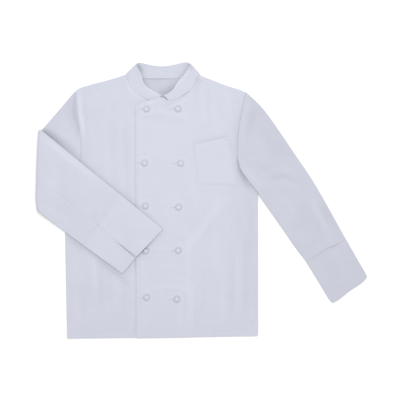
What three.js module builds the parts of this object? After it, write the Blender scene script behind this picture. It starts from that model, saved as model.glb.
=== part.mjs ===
// Double-breasted chef jacket, laid flat on its back. The wearer's right sleeve is folded at the elbow, and
// its forearm lies across the front with the back face up. The other sleeve lies straight, down and out.
// Millimetres. X runs from the centre front towards the wearer's left, Y runs up from the hem, Z is up.
import * as THREE from 'three';

// Cloth and how it lies
const CLOTH = 1.2;          // body and sleeves, in twill
const STIFF = 2;            // collar and cuffs, two layers with an interlining
const SEAM = 0.3;           // gap between pieces sewn edge to edge
const LIFT = 0.45;          // air between a piece and the one that it lies on
const ON_BACK = CLOTH * 1.5 + LIFT;         // height of the middle of a wall that lies on the back panel
const CELL = 4;             // size of the cells that remember how high the cloth lies
const CELLS_ACROSS = 1000;
const PUFF_UNDER = 0.6;     // how far the under front stands up between its edges
const PUFF_TOP = 1.2;
const PUFF_REACH = 70;      // distance from an edge at which the whole puff is reached
const FOLD_FADE = 0.1;      // share of a fold's length that its rounded ends lack
const SETTLE_ROUNDS = 60;
const SETTLED = 0.01;       // a wall that lacks less than this counts as clear
const SLEEVE_EDGE = 5;      // height between the walls of the straight sleeve, at its edges
const FOREARM_EDGE = 4;     // height between the walls of the folded sleeve, at its edges
const ELBOW_RADIUS = 9;     // the back wall's bend round the elbow
const LAP = 9;              // how far a sleeve's top piece turns on to its back face, at the inner edge

// Body
const HALF_LAP = 78;        // from the centre front to a front's free edge
const LAP_TOP = [79.5, 693];
const LAP_RISE = [[54, 702], [27, 714]];
const NOTCH = [0, 718];
const NECKLINE = [[20, 700], [45, 708], [68, 722], [90, 740], [99, 757]];
const NECK_CORNER_LEFT = [110, 781];
const NECK_CORNER_RIGHT = [-108, 783];
const BACK_NECK = [[60, 771.5], [-60, 771.5]];
const SHOULDER_LEFT = [[145.5, 767], [183, 752], [228, 738]];
const SHOULDER_RIGHT = [[-154.5, 768], [-213, 753], [-247.5, 742.5]];
const ARM_TOP_LEFT = [250, 729];
const ARM_TOP_RIGHT = [-262, 732];
const UNDERARM_LEFT = [285, 457];
const UNDERARM_RIGHT = [-286.5, 445.5];
const ARM_FOLD_LEFT = [231, 504];            // where the sleeve's overhang starts on the armhole
const ARMHOLE_LEFT = [[225, 530], [227, 600], [234, 650]];
const ARMHOLE_RIGHT = [[-262, 478], [-248, 525], [-245, 590], [-256, 660]];
const HEM_LEFT = [285, 1.5];
const HEM_LAP = [-HALF_LAP, -4.5];
const HEM_RIGHT = [-285, -6];
const HEM_UNDER = [HALF_LAP, -2];
const WAIST_RIGHT = [-291, 310];

// Cells of the panels' grids
const ARM_CELLS = 8;        // armhole, above the overhang
const FOLD_CELLS = 2;       // armhole, under the overhang
const SIDE_CELLS = [14, 6];
const BACK_SIDE_CELLS = [5, 3];
const BACK_HEM_CELLS = 18;
const LAP_CELLS = [1, 1, 1];
const NECK_CELLS = [1, 1, 1, 1, 1, 1];
const SHOULDER_CELLS = [2, 2, 3, 2];
const BACK_SHOULDER_CELLS = [2, 1, 1, 1];
const BACK_NECK_CELLS = [2, 4, 2];

const white = { color: 0xd6d8e3, roughness: 0.9, metalness: 0 };
const materials = {
  body: new THREE.MeshStandardMaterial(white),
  sleeve: new THREE.MeshStandardMaterial({ ...white, color: 0xd2d4e0 }),
  trim: new THREE.MeshStandardMaterial({ ...white, color: 0xd9dbe5, roughness: 0.85 }),
  button: new THREE.MeshStandardMaterial({ color: 0xe6e7ee, roughness: 0.35, metalness: 0 }),
};

const table = (columns, rows) => rows.map(
  (row) => Object.fromEntries(columns.map((name, i) => [name, row[i]])),
);

// The main folds that stand up from the fronts, or sink where the height is below zero.
const TOP_FOLDS = table(['fromX', 'fromY', 'toX', 'toY', 'wide', 'high'], [
  [-60, 664, 0, 662, 13, 1.4],
  [10, 650, 70, 648, 13, 1.6],
  [-40, 261, 40, 262, 13, 1.3],
  [-45, 142, 70, 146, 14, 1.5],
  [223, 288, 224, 78, 14, 2.2],
  [178, 162, 180, 48, 14, 1.8],
  [88, 150, 90, 33, 14, 1.6],
  [195, 408, 85, 268, 16, 1.8],
  [219, 620, 219, 556, 12, -1.2],
  [120, 750, 118, 654, 14, 1.4],
  [201, 722, 198, 648, 14, 1.4],
]);
const UNDER_FOLDS = table(['fromX', 'fromY', 'toX', 'toY', 'wide', 'high'], [
  [-204, 225, -198, 108, 14, 2],
  [-252, 716, -240, 606, 12, 2],
  [-160, 650, -150, 480, 16, 1],
]);

const point = (x, y, z = 0) => new THREE.Vector3(x, y, z);
const mix = (a, b, share) => a.clone().lerp(b, share);
const join = (first, second) => [...first, ...second.slice(1)];
const mirror = ([x, y]) => [-x, y];
const soft = (share) => THREE.MathUtils.smoothstep(share, 0, 1);

// Straight stretches between corners, each cut into its own number of cells.
function path(corners, cells) {
  const points = [point(...corners[0])];
  cells.forEach((count, k) => {
    for (let i = 1; i <= count; i += 1) {
      points.push(mix(point(...corners[k]), point(...corners[k + 1]), i / count));
    }
  });
  return points;
}

// A smooth curve through a few points, cut into equal cells.
function curve(corners, cells) {
  return new THREE.CatmullRomCurve3(corners.map((corner) => point(...corner))).getSpacedPoints(cells);
}

// A grid of points between four edges: the first and last rows, and the first and last columns. The bends of
// the first and last rows fade over a share of the rows.
function patch(start, end, left, right, reach = 1) {
  const rows = left.length - 1;
  const columns = start.length - 1;
  const bend = (edge, j, over) => edge[j].clone().sub(mix(edge[0], edge[columns], over));
  return left.map((_, i) => start.map((__, j) => {
    const up = i / rows;
    const over = j / columns;
    return mix(left[i], right[i], over)
      .addScaledVector(bend(start, j, over), Math.max(0, 1 - up / reach))
      .addScaledVector(bend(end, j, over), Math.max(0, 1 - (1 - up) / reach));
  }));
}

// Moves a grid's border column towards the column beside it.
function trimColumn(grid, column, beside, amount) {
  grid.forEach((row) => {
    const towards = row[beside].clone().sub(row[column]);
    row[column].add(towards.setLength(amount));
  });
}

// Moves a sleeve's first row clear of the armhole.
function clearArmhole(grid, side) {
  grid[0].forEach((corner) => corner.add(point(side * SEAM * 2, SEAM * 2)));
}

// Moves a grid's border row towards the row beside it.
function trimRow(grid, row, beside, amount) {
  grid[row].forEach((corner, j) => {
    const towards = grid[beside][j].clone().sub(corner);
    corner.add(towards.setLength(amount));
  });
}

function normalAt(grid, i, j) {
  const row = grid[i];
  const over = row[Math.min(j + 1, row.length - 1)].clone().sub(row[Math.max(j - 1, 0)]);
  const up = grid[Math.min(i + 1, grid.length - 1)][j].clone().sub(grid[Math.max(i - 1, 0)][j]);
  return over.cross(up).normalize();
}

// A cloth wall: the grid is its middle, and its two faces lie half a thickness away on each side.
function wall(grid, thickness) {
  const columns = grid[0].length;
  const corners = grid.length * columns;
  const positions = [];
  [0.5, -0.5].forEach((side) => grid.forEach((row, i) => row.forEach((middle, j) => {
    positions.push(...middle.clone().addScaledVector(normalAt(grid, i, j), side * thickness));
  })));
  const faces = [];
  const quad = (a, b, c, d) => faces.push(a, b, c, a, c, d);
  for (let i = 0; i < grid.length - 1; i += 1) {
    for (let j = 0; j < columns - 1; j += 1) {
      const at = i * columns + j;
      quad(at, at + 1, at + 1 + columns, at + columns);
      quad(corners + at, corners + at + columns, corners + at + 1 + columns, corners + at + 1);
    }
  }
  const last = (grid.length - 1) * columns;
  for (let j = 0; j < columns - 1; j += 1) {
    quad(j + 1, j, corners + j, corners + j + 1);
    quad(last + j, last + j + 1, corners + last + j + 1, corners + last + j);
  }
  for (let i = 0; i < grid.length - 1; i += 1) {
    const at = i * columns;
    const end = at + columns - 1;
    quad(at, at + columns, corners + at + columns, corners + at);
    quad(end + columns, end, corners + end, corners + end + columns);
  }
  const geometry = new THREE.BufferGeometry();
  geometry.setAttribute('position', new THREE.Float32BufferAttribute(positions, 3));
  geometry.setIndex(faces);
  geometry.computeVertexNormals();
  return geometry;
}

// How high the pieces laid so far reach, in cells across the table.
const laid = new Map();
const cellAt = (x, y) => Math.round(x / CELL) * CELLS_ACROSS + Math.round(y / CELL);

function reachedAt(x, y) {
  let high = 0;
  for (const stepX of [-CELL, 0, CELL]) {
    for (const stepY of [-CELL, 0, CELL]) {
      high = Math.max(high, laid.get(cellAt(x + stepX, y + stepY)) ?? 0);
    }
  }
  return high;
}

// Remembers the upper face of a wall.
function lay(grid, thickness) {
  const faces = grid.map((row, i) => row.map((middle, j) => {
    const normal = normalAt(grid, i, j);
    return middle.clone().addScaledVector(normal, Math.sign(normal.z || 1) * thickness / 2);
  }));
  for (let i = 0; i < faces.length - 1; i += 1) {
    for (let j = 0; j < faces[0].length - 1; j += 1) {
      const [a, b, c, d] = [faces[i][j], faces[i][j + 1], faces[i + 1][j], faces[i + 1][j + 1]];
      const steps = Math.ceil(Math.max(a.distanceTo(d), b.distanceTo(c)) / CELL * 2);
      for (let over = 0; over <= steps; over += 1) {
        for (let up = 0; up <= steps; up += 1) {
          const spot = mix(mix(a, b, over / steps), mix(c, d, over / steps), up / steps);
          const cell = cellAt(spot.x, spot.y);
          laid.set(cell, Math.max(laid.get(cell) ?? 0, spot.z));
        }
      }
    }
  }
}

// Raises a wall's points until the whole wall is clear of what it lies on.
function settle(grid, thickness) {
  const clear = LIFT + thickness / 2;
  grid.flat().forEach((middle) => {
    middle.z = Math.max(middle.z, reachedAt(middle.x, middle.y) + clear);
  });
  for (let round = 0; round < SETTLE_ROUNDS; round += 1) {
    let worst = 0;
    for (let i = 0; i < grid.length - 1; i += 1) {
      for (let j = 0; j < grid[0].length - 1; j += 1) {
        const [a, b, c, d] = [grid[i][j], grid[i][j + 1], grid[i + 1][j + 1], grid[i + 1][j]];
        for (const corners of [[a, b, c], [a, c, d]]) {
          const steps = Math.ceil(Math.max(a.distanceTo(c), b.distanceTo(d)) / CELL);
          for (let m = 0; m <= steps; m += 1) {
            for (let n = 0; n <= steps - m; n += 1) {
              const shares = [m / steps, n / steps, (steps - m - n) / steps];
              const spot = point(0, 0);
              corners.forEach((corner, k) => spot.addScaledVector(corner, shares[k]));
              const lack = reachedAt(spot.x, spot.y) + clear - spot.z;
              worst = Math.max(worst, lack);
              if (lack > 0) {
                const whole = shares.reduce((sum, share) => sum + share * share, 0);
                corners.forEach((corner, k) => { corner.z += lack * shares[k] / whole; });
              }
            }
          }
        }
      }
    }
    if (worst < SETTLED) break;
  }
  return grid;
}

// Height of the folds in a table at one place: each is a soft ridge that fades at its ends.
function foldHeight(folds, x, y) {
  return folds.reduce((sum, fold) => {
    const along = point(fold.toX - fold.fromX, fold.toY - fold.fromY);
    const away = point(x - fold.fromX, y - fold.fromY);
    const share = THREE.MathUtils.clamp(away.dot(along) / along.lengthSq(), 0, 1);
    const distance = away.addScaledVector(along, -share).length();
    const fade = Math.sqrt(Math.sin(Math.PI * (FOLD_FADE + (1 - 2 * FOLD_FADE) * share)));
    return sum + fold.high * fade * Math.exp(-((distance / fold.wide) ** 2));
  }, 0);
}

// Lifts a front between its edges, and along its folds.
function puffUp(grid, puff, folds) {
  const sides = grid.flatMap((row) => [row[0], row[row.length - 1]]);
  const border = [...grid[0], ...grid[grid.length - 1], ...sides];
  grid.forEach((row) => row.forEach((middle) => {
    const edge = Math.min(...border.map((corner) => Math.hypot(corner.x - middle.x, corner.y - middle.y)));
    middle.z += (puff + foldHeight(folds, middle.x, middle.y)) * soft(edge / PUFF_REACH);
  }));
}

const jacket = new THREE.Group();

function add(name, geometry, material) {
  const mesh = new THREE.Mesh(geometry, material);
  mesh.name = name;
  jacket.add(mesh);
}

// Armholes, from the underarm up to the shoulder
const armholeLeft = join(
  path([UNDERARM_LEFT, ARM_FOLD_LEFT], [FOLD_CELLS]),
  curve([ARM_FOLD_LEFT, ...ARMHOLE_LEFT, ARM_TOP_LEFT], ARM_CELLS),
);
const armholeRight = curve([UNDERARM_RIGHT, ...ARMHOLE_RIGHT, ARM_TOP_RIGHT], ARM_CELLS + FOLD_CELLS);

function makeBack() {
  const left = join(path([HEM_RIGHT, WAIST_RIGHT, UNDERARM_RIGHT], BACK_SIDE_CELLS), armholeRight);
  const sideCells = BACK_SIDE_CELLS[0] + BACK_SIDE_CELLS[1];
  const right = join(path([HEM_LEFT, UNDERARM_LEFT], [sideCells]), armholeLeft);
  const shoulderCells = [...BACK_SHOULDER_CELLS].reverse();
  const top = path(
    [ARM_TOP_RIGHT, ...[...SHOULDER_RIGHT].reverse(), NECK_CORNER_RIGHT, ...[...BACK_NECK].reverse(),
      NECK_CORNER_LEFT, ...SHOULDER_LEFT, ARM_TOP_LEFT],
    [...shoulderCells, ...BACK_NECK_CELLS, ...BACK_SHOULDER_CELLS],
  );
  const grid = patch(path([HEM_RIGHT, HEM_LEFT], [BACK_HEM_CELLS]), top, left, right);
  grid.flat().forEach((middle) => { middle.z = CLOTH / 2; });
  lay(grid, CLOTH);
  add('back', wall(grid, CLOTH), materials.body);
}

function restOnBack(grid, puff, folds) {
  grid.flat().forEach((middle) => { middle.z = ON_BACK; });
  puffUp(grid, puff, folds);
  settle(grid, CLOTH);
  lay(grid, CLOTH);
  return grid;
}

// The wearer's right front, under the other one.
function makeFrontRight() {
  const columns = [...SHOULDER_CELLS, ...NECK_CELLS, ...LAP_CELLS].reduce((sum, cells) => sum + cells, 0);
  const neck = [NOTCH, ...NECKLINE.map(mirror)].reverse();
  const top = path(
    [ARM_TOP_RIGHT, ...[...SHOULDER_RIGHT].reverse(), NECK_CORNER_RIGHT, ...neck,
      ...[...LAP_RISE].reverse(), LAP_TOP],
    [...[...SHOULDER_CELLS].reverse(), ...NECK_CELLS, ...LAP_CELLS],
  );
  const left = join(path([HEM_RIGHT, WAIST_RIGHT, UNDERARM_RIGHT], SIDE_CELLS), armholeRight);
  const right = path([HEM_UNDER, LAP_TOP], [left.length - 1]);
  const plan = patch(path([HEM_RIGHT, HEM_UNDER], [columns]), top, left, right);
  const grid = restOnBack(plan, PUFF_UNDER, UNDER_FOLDS);
  add('front_right', wall(grid, CLOTH), materials.body);
}

// The wearer's left front, on top, with its free edge at the far button column.
function makeFrontLeft() {
  const columns = [...SHOULDER_CELLS, ...NECK_CELLS, ...LAP_CELLS].reduce((sum, cells) => sum + cells, 0);
  const top = path(
    [mirror(LAP_TOP), ...LAP_RISE.map(mirror), NOTCH, ...NECKLINE, NECK_CORNER_LEFT, ...SHOULDER_LEFT,
      ARM_TOP_LEFT],
    [...LAP_CELLS, ...NECK_CELLS, ...SHOULDER_CELLS],
  );
  const right = join(path([HEM_LEFT, UNDERARM_LEFT], [SIDE_CELLS[0] + SIDE_CELLS[1]]), armholeLeft);
  const left = path([HEM_LAP, mirror(LAP_TOP)], [right.length - 1]);
  const plan = patch(path([HEM_LAP, HEM_LEFT], [columns]), top, left, right);
  const grid = restOnBack(plan, PUFF_TOP, TOP_FOLDS);
  add('front_left', wall(grid, CLOTH), materials.body);
}

// The collar, a band from the centre front round the neck and back. Its seam edge and its free edge are given
// at each station, with the height of the band's middle.
const COLLAR = table(['seamX', 'seamY', 'seamZ', 'freeX', 'freeY', 'freeZ'], [
  [-19, 701.5, 2.5, -3.5, 722, 3.1],
  [-30, 703.5, 2.5, -15, 728, 3.5],
  [-47, 711, 2.5, -31, 737, 4.3],
  [-67, 723.5, 2.6, -46, 746.5, 6],
  [-88, 741, 2.8, -55, 757, 8.4],
  [-97, 757.5, 3.4, -61, 774, 11.5],
  [-104, 774, 4.2, -66, 792, 14.5],
  [-108.5, 785, 3.4, -77, 813.5, 12],
  [-100, 783.5, 1.4, -66, 818, 7.5],
  [-80, 777.5, 1.3, -44, 812.5, 6.5],
  [-50, 773, 1.3, -22, 808.5, 7],
  [0, 773, 1.3, 1, 807, 7.5],
  [50, 773, 1.3, 24, 809.5, 7],
  [80, 776, 1.3, 48, 815, 6.5],
  [101, 781.5, 1.4, 70, 819.6, 7.5],
  [111, 784, 3.2, 84, 813.5, 12],
  [107, 777.5, 4.6, 69, 790, 14.5],
  [98, 758, 4.4, 58, 775, 12],
  [89, 742, 4.6, 47, 763.5, 10],
  [67, 724.5, 4.8, 39.5, 751, 9],
  [45, 710.5, 5, 31.5, 739, 8.4],
  [29, 704, 5.1, 18, 728, 7.6],
  [21, 702.5, 5.2, 5, 721.5, 6.8],
]);
const COLLAR_STEPS = 2;     // rings of the solid for each station
const COLLAR_CELLS = 4;
const COLLAR_BULGE = 1.1;
const COLLAR_RINGS_UNDER_LAP = 8;           // rings that the left front lies on

function collarGrid() {
  const spots = (COLLAR.length - 1) * COLLAR_STEPS;
  const edge = (x, y, z) => new THREE.CatmullRomCurve3(COLLAR.map((at) => point(at[x], at[y], at[z])));
  const seam = edge('seamX', 'seamY', 'seamZ').getPoints(spots);
  const free = edge('freeX', 'freeY', 'freeZ').getPoints(spots);
  const grid = seam.map((low, i) => Array.from(
    { length: COLLAR_CELLS + 1 },
    (_, j) => mix(low, free[i], j / COLLAR_CELLS),
  ));
  return grid.map((row, i) => row.map((middle, j) => {
    const bulge = COLLAR_BULGE * Math.sin(Math.PI * j / COLLAR_CELLS);
    return middle.clone().addScaledVector(normalAt(grid, i, j), bulge);
  }));
}

const collar = collarGrid();
const collarUnderLap = collar.slice(0, COLLAR_RINGS_UNDER_LAP);

// Buttons: a domed stud with a rim, in two columns. Each row is named from the top.
const BUTTON_RADIUS = 7.5;
const BUTTON_SIDES = 16;
const BUTTON_PROFILE = [[0, 0], [5.6, 0], [7.5, 1.1], [7.3, 2.4], [5.6, 3.9], [3, 4.8], [0, 5.1]];
const BUTTON_ROWS = table(['name', 'rightX', 'rightY', 'leftX', 'leftY'], [
  ['1', -48.6, 680, 46.5, 680],
  ['2', -54, 518, 54, 517],
  ['3', -51.6, 389, 48, 385.5],
  ['4', -51, 255, 46.5, 256],
  ['5', -48, 115.5, 43, 110],
]);

function makeButton(name, x, y) {
  let floor = 0;
  for (let turn = 0; turn < BUTTON_SIDES; turn += 1) {
    const angle = 2 * Math.PI * turn / BUTTON_SIDES;
    for (const radius of [0, BUTTON_RADIUS / 2, BUTTON_RADIUS]) {
      floor = Math.max(floor, reachedAt(x + radius * Math.cos(angle), y + radius * Math.sin(angle)));
    }
  }
  const profile = BUTTON_PROFILE.map(([radius, height]) => new THREE.Vector2(radius, height));
  const geometry = new THREE.LatheGeometry(profile, BUTTON_SIDES);
  geometry.rotateX(Math.PI / 2);
  geometry.translate(x, y, floor + SEAM);
  add(name, geometry, materials.button);
  const top = floor + SEAM + BUTTON_PROFILE[BUTTON_PROFILE.length - 1][1];
  const sides = [-BUTTON_RADIUS, 0, BUTTON_RADIUS];
  lay(sides.map((up) => sides.map((over) => point(x + over, y + up, top))), 0);
}

// Chest pocket, with a sloping mouth
const POCKET = {
  topLeft: [91.5, 574.5],
  topRight: [199.5, 598.5],
  lowRight: [222, 456],
  lowLeft: [108, 453],
};
const POCKET_CELLS = [7, 8];

function makePocket() {
  const { topLeft, topRight, lowRight, lowLeft } = POCKET;
  const [over, up] = POCKET_CELLS;
  const grid = patch(
    path([lowLeft, lowRight], [over]),
    path([topLeft, topRight], [over]),
    path([lowLeft, topLeft], [up]),
    path([lowRight, topRight], [up]),
  );
  settle(grid, CLOTH);
  lay(grid, CLOTH);
  add('pocket', wall(grid, CLOTH), materials.body);
}

// Points that carry a sleeve's section round an edge, from one wall to the other.
const TURN_ANGLES = [45, 90, 135].map(THREE.MathUtils.degToRad);

function turn(from, to, beside) {
  const middle = mix(from, to, 0.5);
  const arm = from.clone().sub(middle);
  const out = from.clone().sub(beside);
  out.addScaledVector(arm, -out.dot(arm) / arm.lengthSq()).setLength(arm.length());
  return TURN_ANGLES.map((angle) => middle.clone()
    .addScaledVector(arm, Math.cos(angle))
    .addScaledVector(out, Math.sin(angle)));
}

// The rows of a sleeve's top piece: it starts on the back face, turns round the inner edge, covers the front
// face, turns round the outer edge and ends at the back seam.
function topPiece(lips, heels, front, backTop) {
  return front.map((row, i) => {
    const outer = row.length - 1;
    const behind = [...backTop[i]].reverse();
    return [
      lips[i],
      heels[i],
      ...turn(row[0], heels[i], row[1]).reverse(),
      ...row,
      ...turn(row[outer], behind[0], row[outer - 1]),
      ...behind,
    ];
  });
}

// Straight sleeve
const SLEEVE_ROWS = [6, 14];
const OVERHANG = [[246, 481], [262, 458], [283, 433]];
const OVERHANG_CELLS = [2, 2, 2];
const FRONT_SEAM_TOP = [[299, 455], [310, 446], [315, 432], [318, 420]];
const FRONT_SEAM_LOW = [[318, 420], [361, 345], [406, 279]];
const HIDDEN_END = [291, 446];
const HIDDEN_RISE = 0.8;
const INNER_LEFT = [[292, 418], [351, 334], [396, 269], [432, 222]];
const OUTER_TOP = [[290, 696], [345, 620], [393, 548]];
const OUTER_LOW = [[393, 548], [446, 470], [486, 402], [531, 321], [549, 288]];
const CUFF_SEAM_LEFT = [[432, 222], [468, 249], [508, 271], [549, 288]];
const BACK_SEAM_TOP = [[275, 562], [345, 452]];
const BACK_SEAM_LOW = [[345, 452], [405, 340]];
const UNDER_CELLS = 4;
const BEND_REACH = 0.3;     // share of the rows in which the armhole's bend fades
const SLEEVE_PUFF = 2;
const SLEEVE_FOLDS = table(['fromX', 'fromY', 'toX', 'toY', 'wide', 'high'], [
  [459, 400, 480, 351, 14, 3],
  [480, 351, 520, 290, 14, 3],
  [300, 500, 372, 478, 12, -2.5],
  [318, 470, 385, 462, 12, 2.5],
  [246, 503, 300, 440, 12, 2.5],
  [300, 640, 330, 600, 16, 1.5],
]);

const onTable = (grid, thickness) => {
  grid.flat().forEach((middle) => { middle.z = thickness / 2; });
  lay(grid, thickness);
  return grid;
};

const sleeveLeft = {};

const outerEdgeLeft = () => join(
  curve([ARM_TOP_LEFT, ...OUTER_TOP], SLEEVE_ROWS[0]),
  curve(OUTER_LOW, SLEEVE_ROWS[1]),
);

// The back face of the straight sleeve lies on the table.
function laySleeveLeftBack() {
  const rows = SLEEVE_ROWS[0] + SLEEVE_ROWS[1];
  const outer = outerEdgeLeft();
  const cuffSeam = curve(CUFF_SEAM_LEFT, ARM_CELLS + FOLD_CELLS);
  const innerEnd = mix(cuffSeam[0], cuffSeam[1], LAP / cuffSeam[0].distanceTo(cuffSeam[1]));
  const inner = join(
    curve([UNDERARM_LEFT, ...FRONT_SEAM_TOP], SLEEVE_ROWS[0]),
    curve([...FRONT_SEAM_LOW, innerEnd.toArray()], SLEEVE_ROWS[1]),
  );
  const seamEnds = [armholeLeft[UNDER_CELLS], cuffSeam[UNDER_CELLS]].map((end) => end.toArray());
  const seam = join(
    curve([seamEnds[0], ...BACK_SEAM_TOP], SLEEVE_ROWS[0]),
    curve([...BACK_SEAM_LOW, seamEnds[1]], SLEEVE_ROWS[1]),
  );
  const underEnd = [innerEnd, ...cuffSeam.slice(1, UNDER_CELLS + 1)];
  const under = patch(armholeLeft.slice(0, UNDER_CELLS + 1), underEnd, inner, seam, BEND_REACH);
  const top = patch(armholeLeft.slice(UNDER_CELLS), cuffSeam.slice(UNDER_CELLS), seam, outer);
  [under, top].forEach((grid) => {
    clearArmhole(grid, 1);
    trimRow(grid, rows, rows - 1, SEAM);
  });
  trimColumn(top, top[0].length - 1, top[0].length - 2, SLEEVE_EDGE / 2);
  trimColumn(top, 0, 1, SEAM);
  trimColumn(under, 0, 1, SEAM);
  sleeveLeft.under = onTable(under, CLOTH);
  sleeveLeft.backTop = onTable(top, CLOTH);
}

// The front face lies over it, and over the edge of the body under the arm.
function makeSleeveLeft() {
  const rows = SLEEVE_ROWS[0] + SLEEVE_ROWS[1];
  const outer = outerEdgeLeft();
  const inner = join(
    path([ARM_FOLD_LEFT, ...OVERHANG], OVERHANG_CELLS),
    curve([OVERHANG[2], ...INNER_LEFT], SLEEVE_ROWS[1]),
  );
  const front = patch(armholeLeft.slice(FOLD_CELLS), curve(CUFF_SEAM_LEFT, ARM_CELLS), inner, outer);
  clearArmhole(front, 1);
  trimRow(front, rows, rows - 1, SEAM);
  trimColumn(front, 0, 1, SLEEVE_EDGE / 2);
  trimColumn(front, ARM_CELLS, ARM_CELLS - 1, SLEEVE_EDGE / 2);
  front.forEach((row, i) => row.forEach((middle, j) => {
    const across = Math.sin(Math.PI * j / ARM_CELLS);
    const along = soft(i / SLEEVE_ROWS[0]);
    const full = CLOTH / 2 + SLEEVE_EDGE + SLEEVE_PUFF * across;
    const fold = foldHeight(SLEEVE_FOLDS, middle.x, middle.y) * across;
    middle.z = THREE.MathUtils.lerp(ON_BACK, full, along) + fold;
  }));
  settle(front, CLOTH);
  const { under, backTop } = sleeveLeft;
  const heels = front.map((row) => row[0].clone().setZ(CLOTH / 2));
  const lips = under.map(([corner], i) => (
    corner.clone().add(heels[i].clone().sub(corner).setLength(SEAM * 2))
  ));
  const hidden = path([ARM_FOLD_LEFT, HIDDEN_END], [SLEEVE_ROWS[0]]);
  hidden.forEach((spot, i) => {
    const edge = front[i][0];
    heels[i].setZ(reachedAt(edge.x, edge.y) + LIFT + CLOTH / 2 + HIDDEN_RISE);
    lips[i].copy(spot).setZ(heels[i].z);
    edge.z = Math.max(edge.z, heels[i].z + CLOTH * 2);
  });
  const grid = topPiece(lips, heels, front, backTop);
  add('sleeve_left_under', wall(under, CLOTH), materials.sleeve);
  add('sleeve_left_top', wall(grid, CLOTH), materials.sleeve);
}

// Folded sleeve: the upper arm lies on the table, the walls bend round the elbow, and the forearm comes back
// over the body with its back face up.
const UPPER_ROWS = 5;
const UPPER_RISE_ROWS = 2;  // upper arm rows over which it puffs up
const FOREARM_ROWS = 9;
const FOREARM_RISE_ROWS = 3;
const BEND_ANGLES = [30, 60, 90, 120, 150].map(THREE.MathUtils.degToRad);
const SLOPE_ROWS = 6;       // forearm rows over which it comes down from the elbow's height
const FOREARM_PUFF = 1.5;
const ELBOW_LOW = [[-373, 371], [-379, 405], [-378, 452]];
const ELBOW_HIGH = [[-378, 452], [-376, 530], [-371, 616]];
const FOREARM_LOW = [-297, 317];            // on the forearm's lower edge, between the elbow and the cuff
const CUFF_CORNER = [-236, 272];
const CUFF_TIP = [-129, 426];
const VENT_SEAM = [-193, 333];
const BACK_SEAM_RIGHT = [[-331, 435], [-285, 403], [-254, 373], VENT_SEAM];
const SEAM_CELLS = [UNDER_CELLS, ARM_CELLS + FOLD_CELLS - UNDER_CELLS];
const FOREARM_FOLDS = table(['fromX', 'fromY', 'toX', 'toY', 'wide', 'high'], [
  [-350, 585, -180, 445, 16, 3],
  [-372, 590, -322, 522, 12, -2.5],
  [-340, 400, -250, 340, 16, 1.5],
  [-300, 470, -190, 385, 20, 1.2],
]);

const sleeveRight = {};

function laySleeveRightUpper() {
  const shift = ELBOW_RADIUS + CLOTH / 2;
  const elbow = join(curve(ELBOW_LOW, SEAM_CELLS[0]), curve(ELBOW_HIGH, SEAM_CELLS[1]));
  const line = elbow.map((middle) => middle.clone().add(point(shift, 0)));
  const last = line.length - 1;
  const between = (from, to, rows) => path([from.toArray(), to.toArray()], [rows]);
  const inner = between(armholeRight[0], line[0], UPPER_ROWS);
  const seam = between(armholeRight[UNDER_CELLS], line[UNDER_CELLS], UPPER_ROWS);
  const outer = between(armholeRight[last], line[last], UPPER_ROWS);
  const under = patch(armholeRight.slice(0, UNDER_CELLS + 1), line.slice(0, UNDER_CELLS + 1), inner, seam);
  const top = patch(armholeRight.slice(UNDER_CELLS), line.slice(UNDER_CELLS), seam, outer);
  const upper = under.map((row, i) => join(row, top[i]));
  clearArmhole(upper, -1);
  sleeveRight.upper = upper;
  sleeveRight.line = line;
  sleeveRight.back = onTable(upper.map((row) => row.map((middle) => middle.clone())), CLOTH);
}

// The rows round the elbow, for a wall at the given radius.
function bendRows(line, radius) {
  const height = CLOTH / 2 + ELBOW_RADIUS;
  return BEND_ANGLES.map((angle) => line.map((middle) => point(
    middle.x - radius * Math.sin(angle),
    middle.y,
    height - radius * Math.cos(angle),
  )));
}

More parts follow.
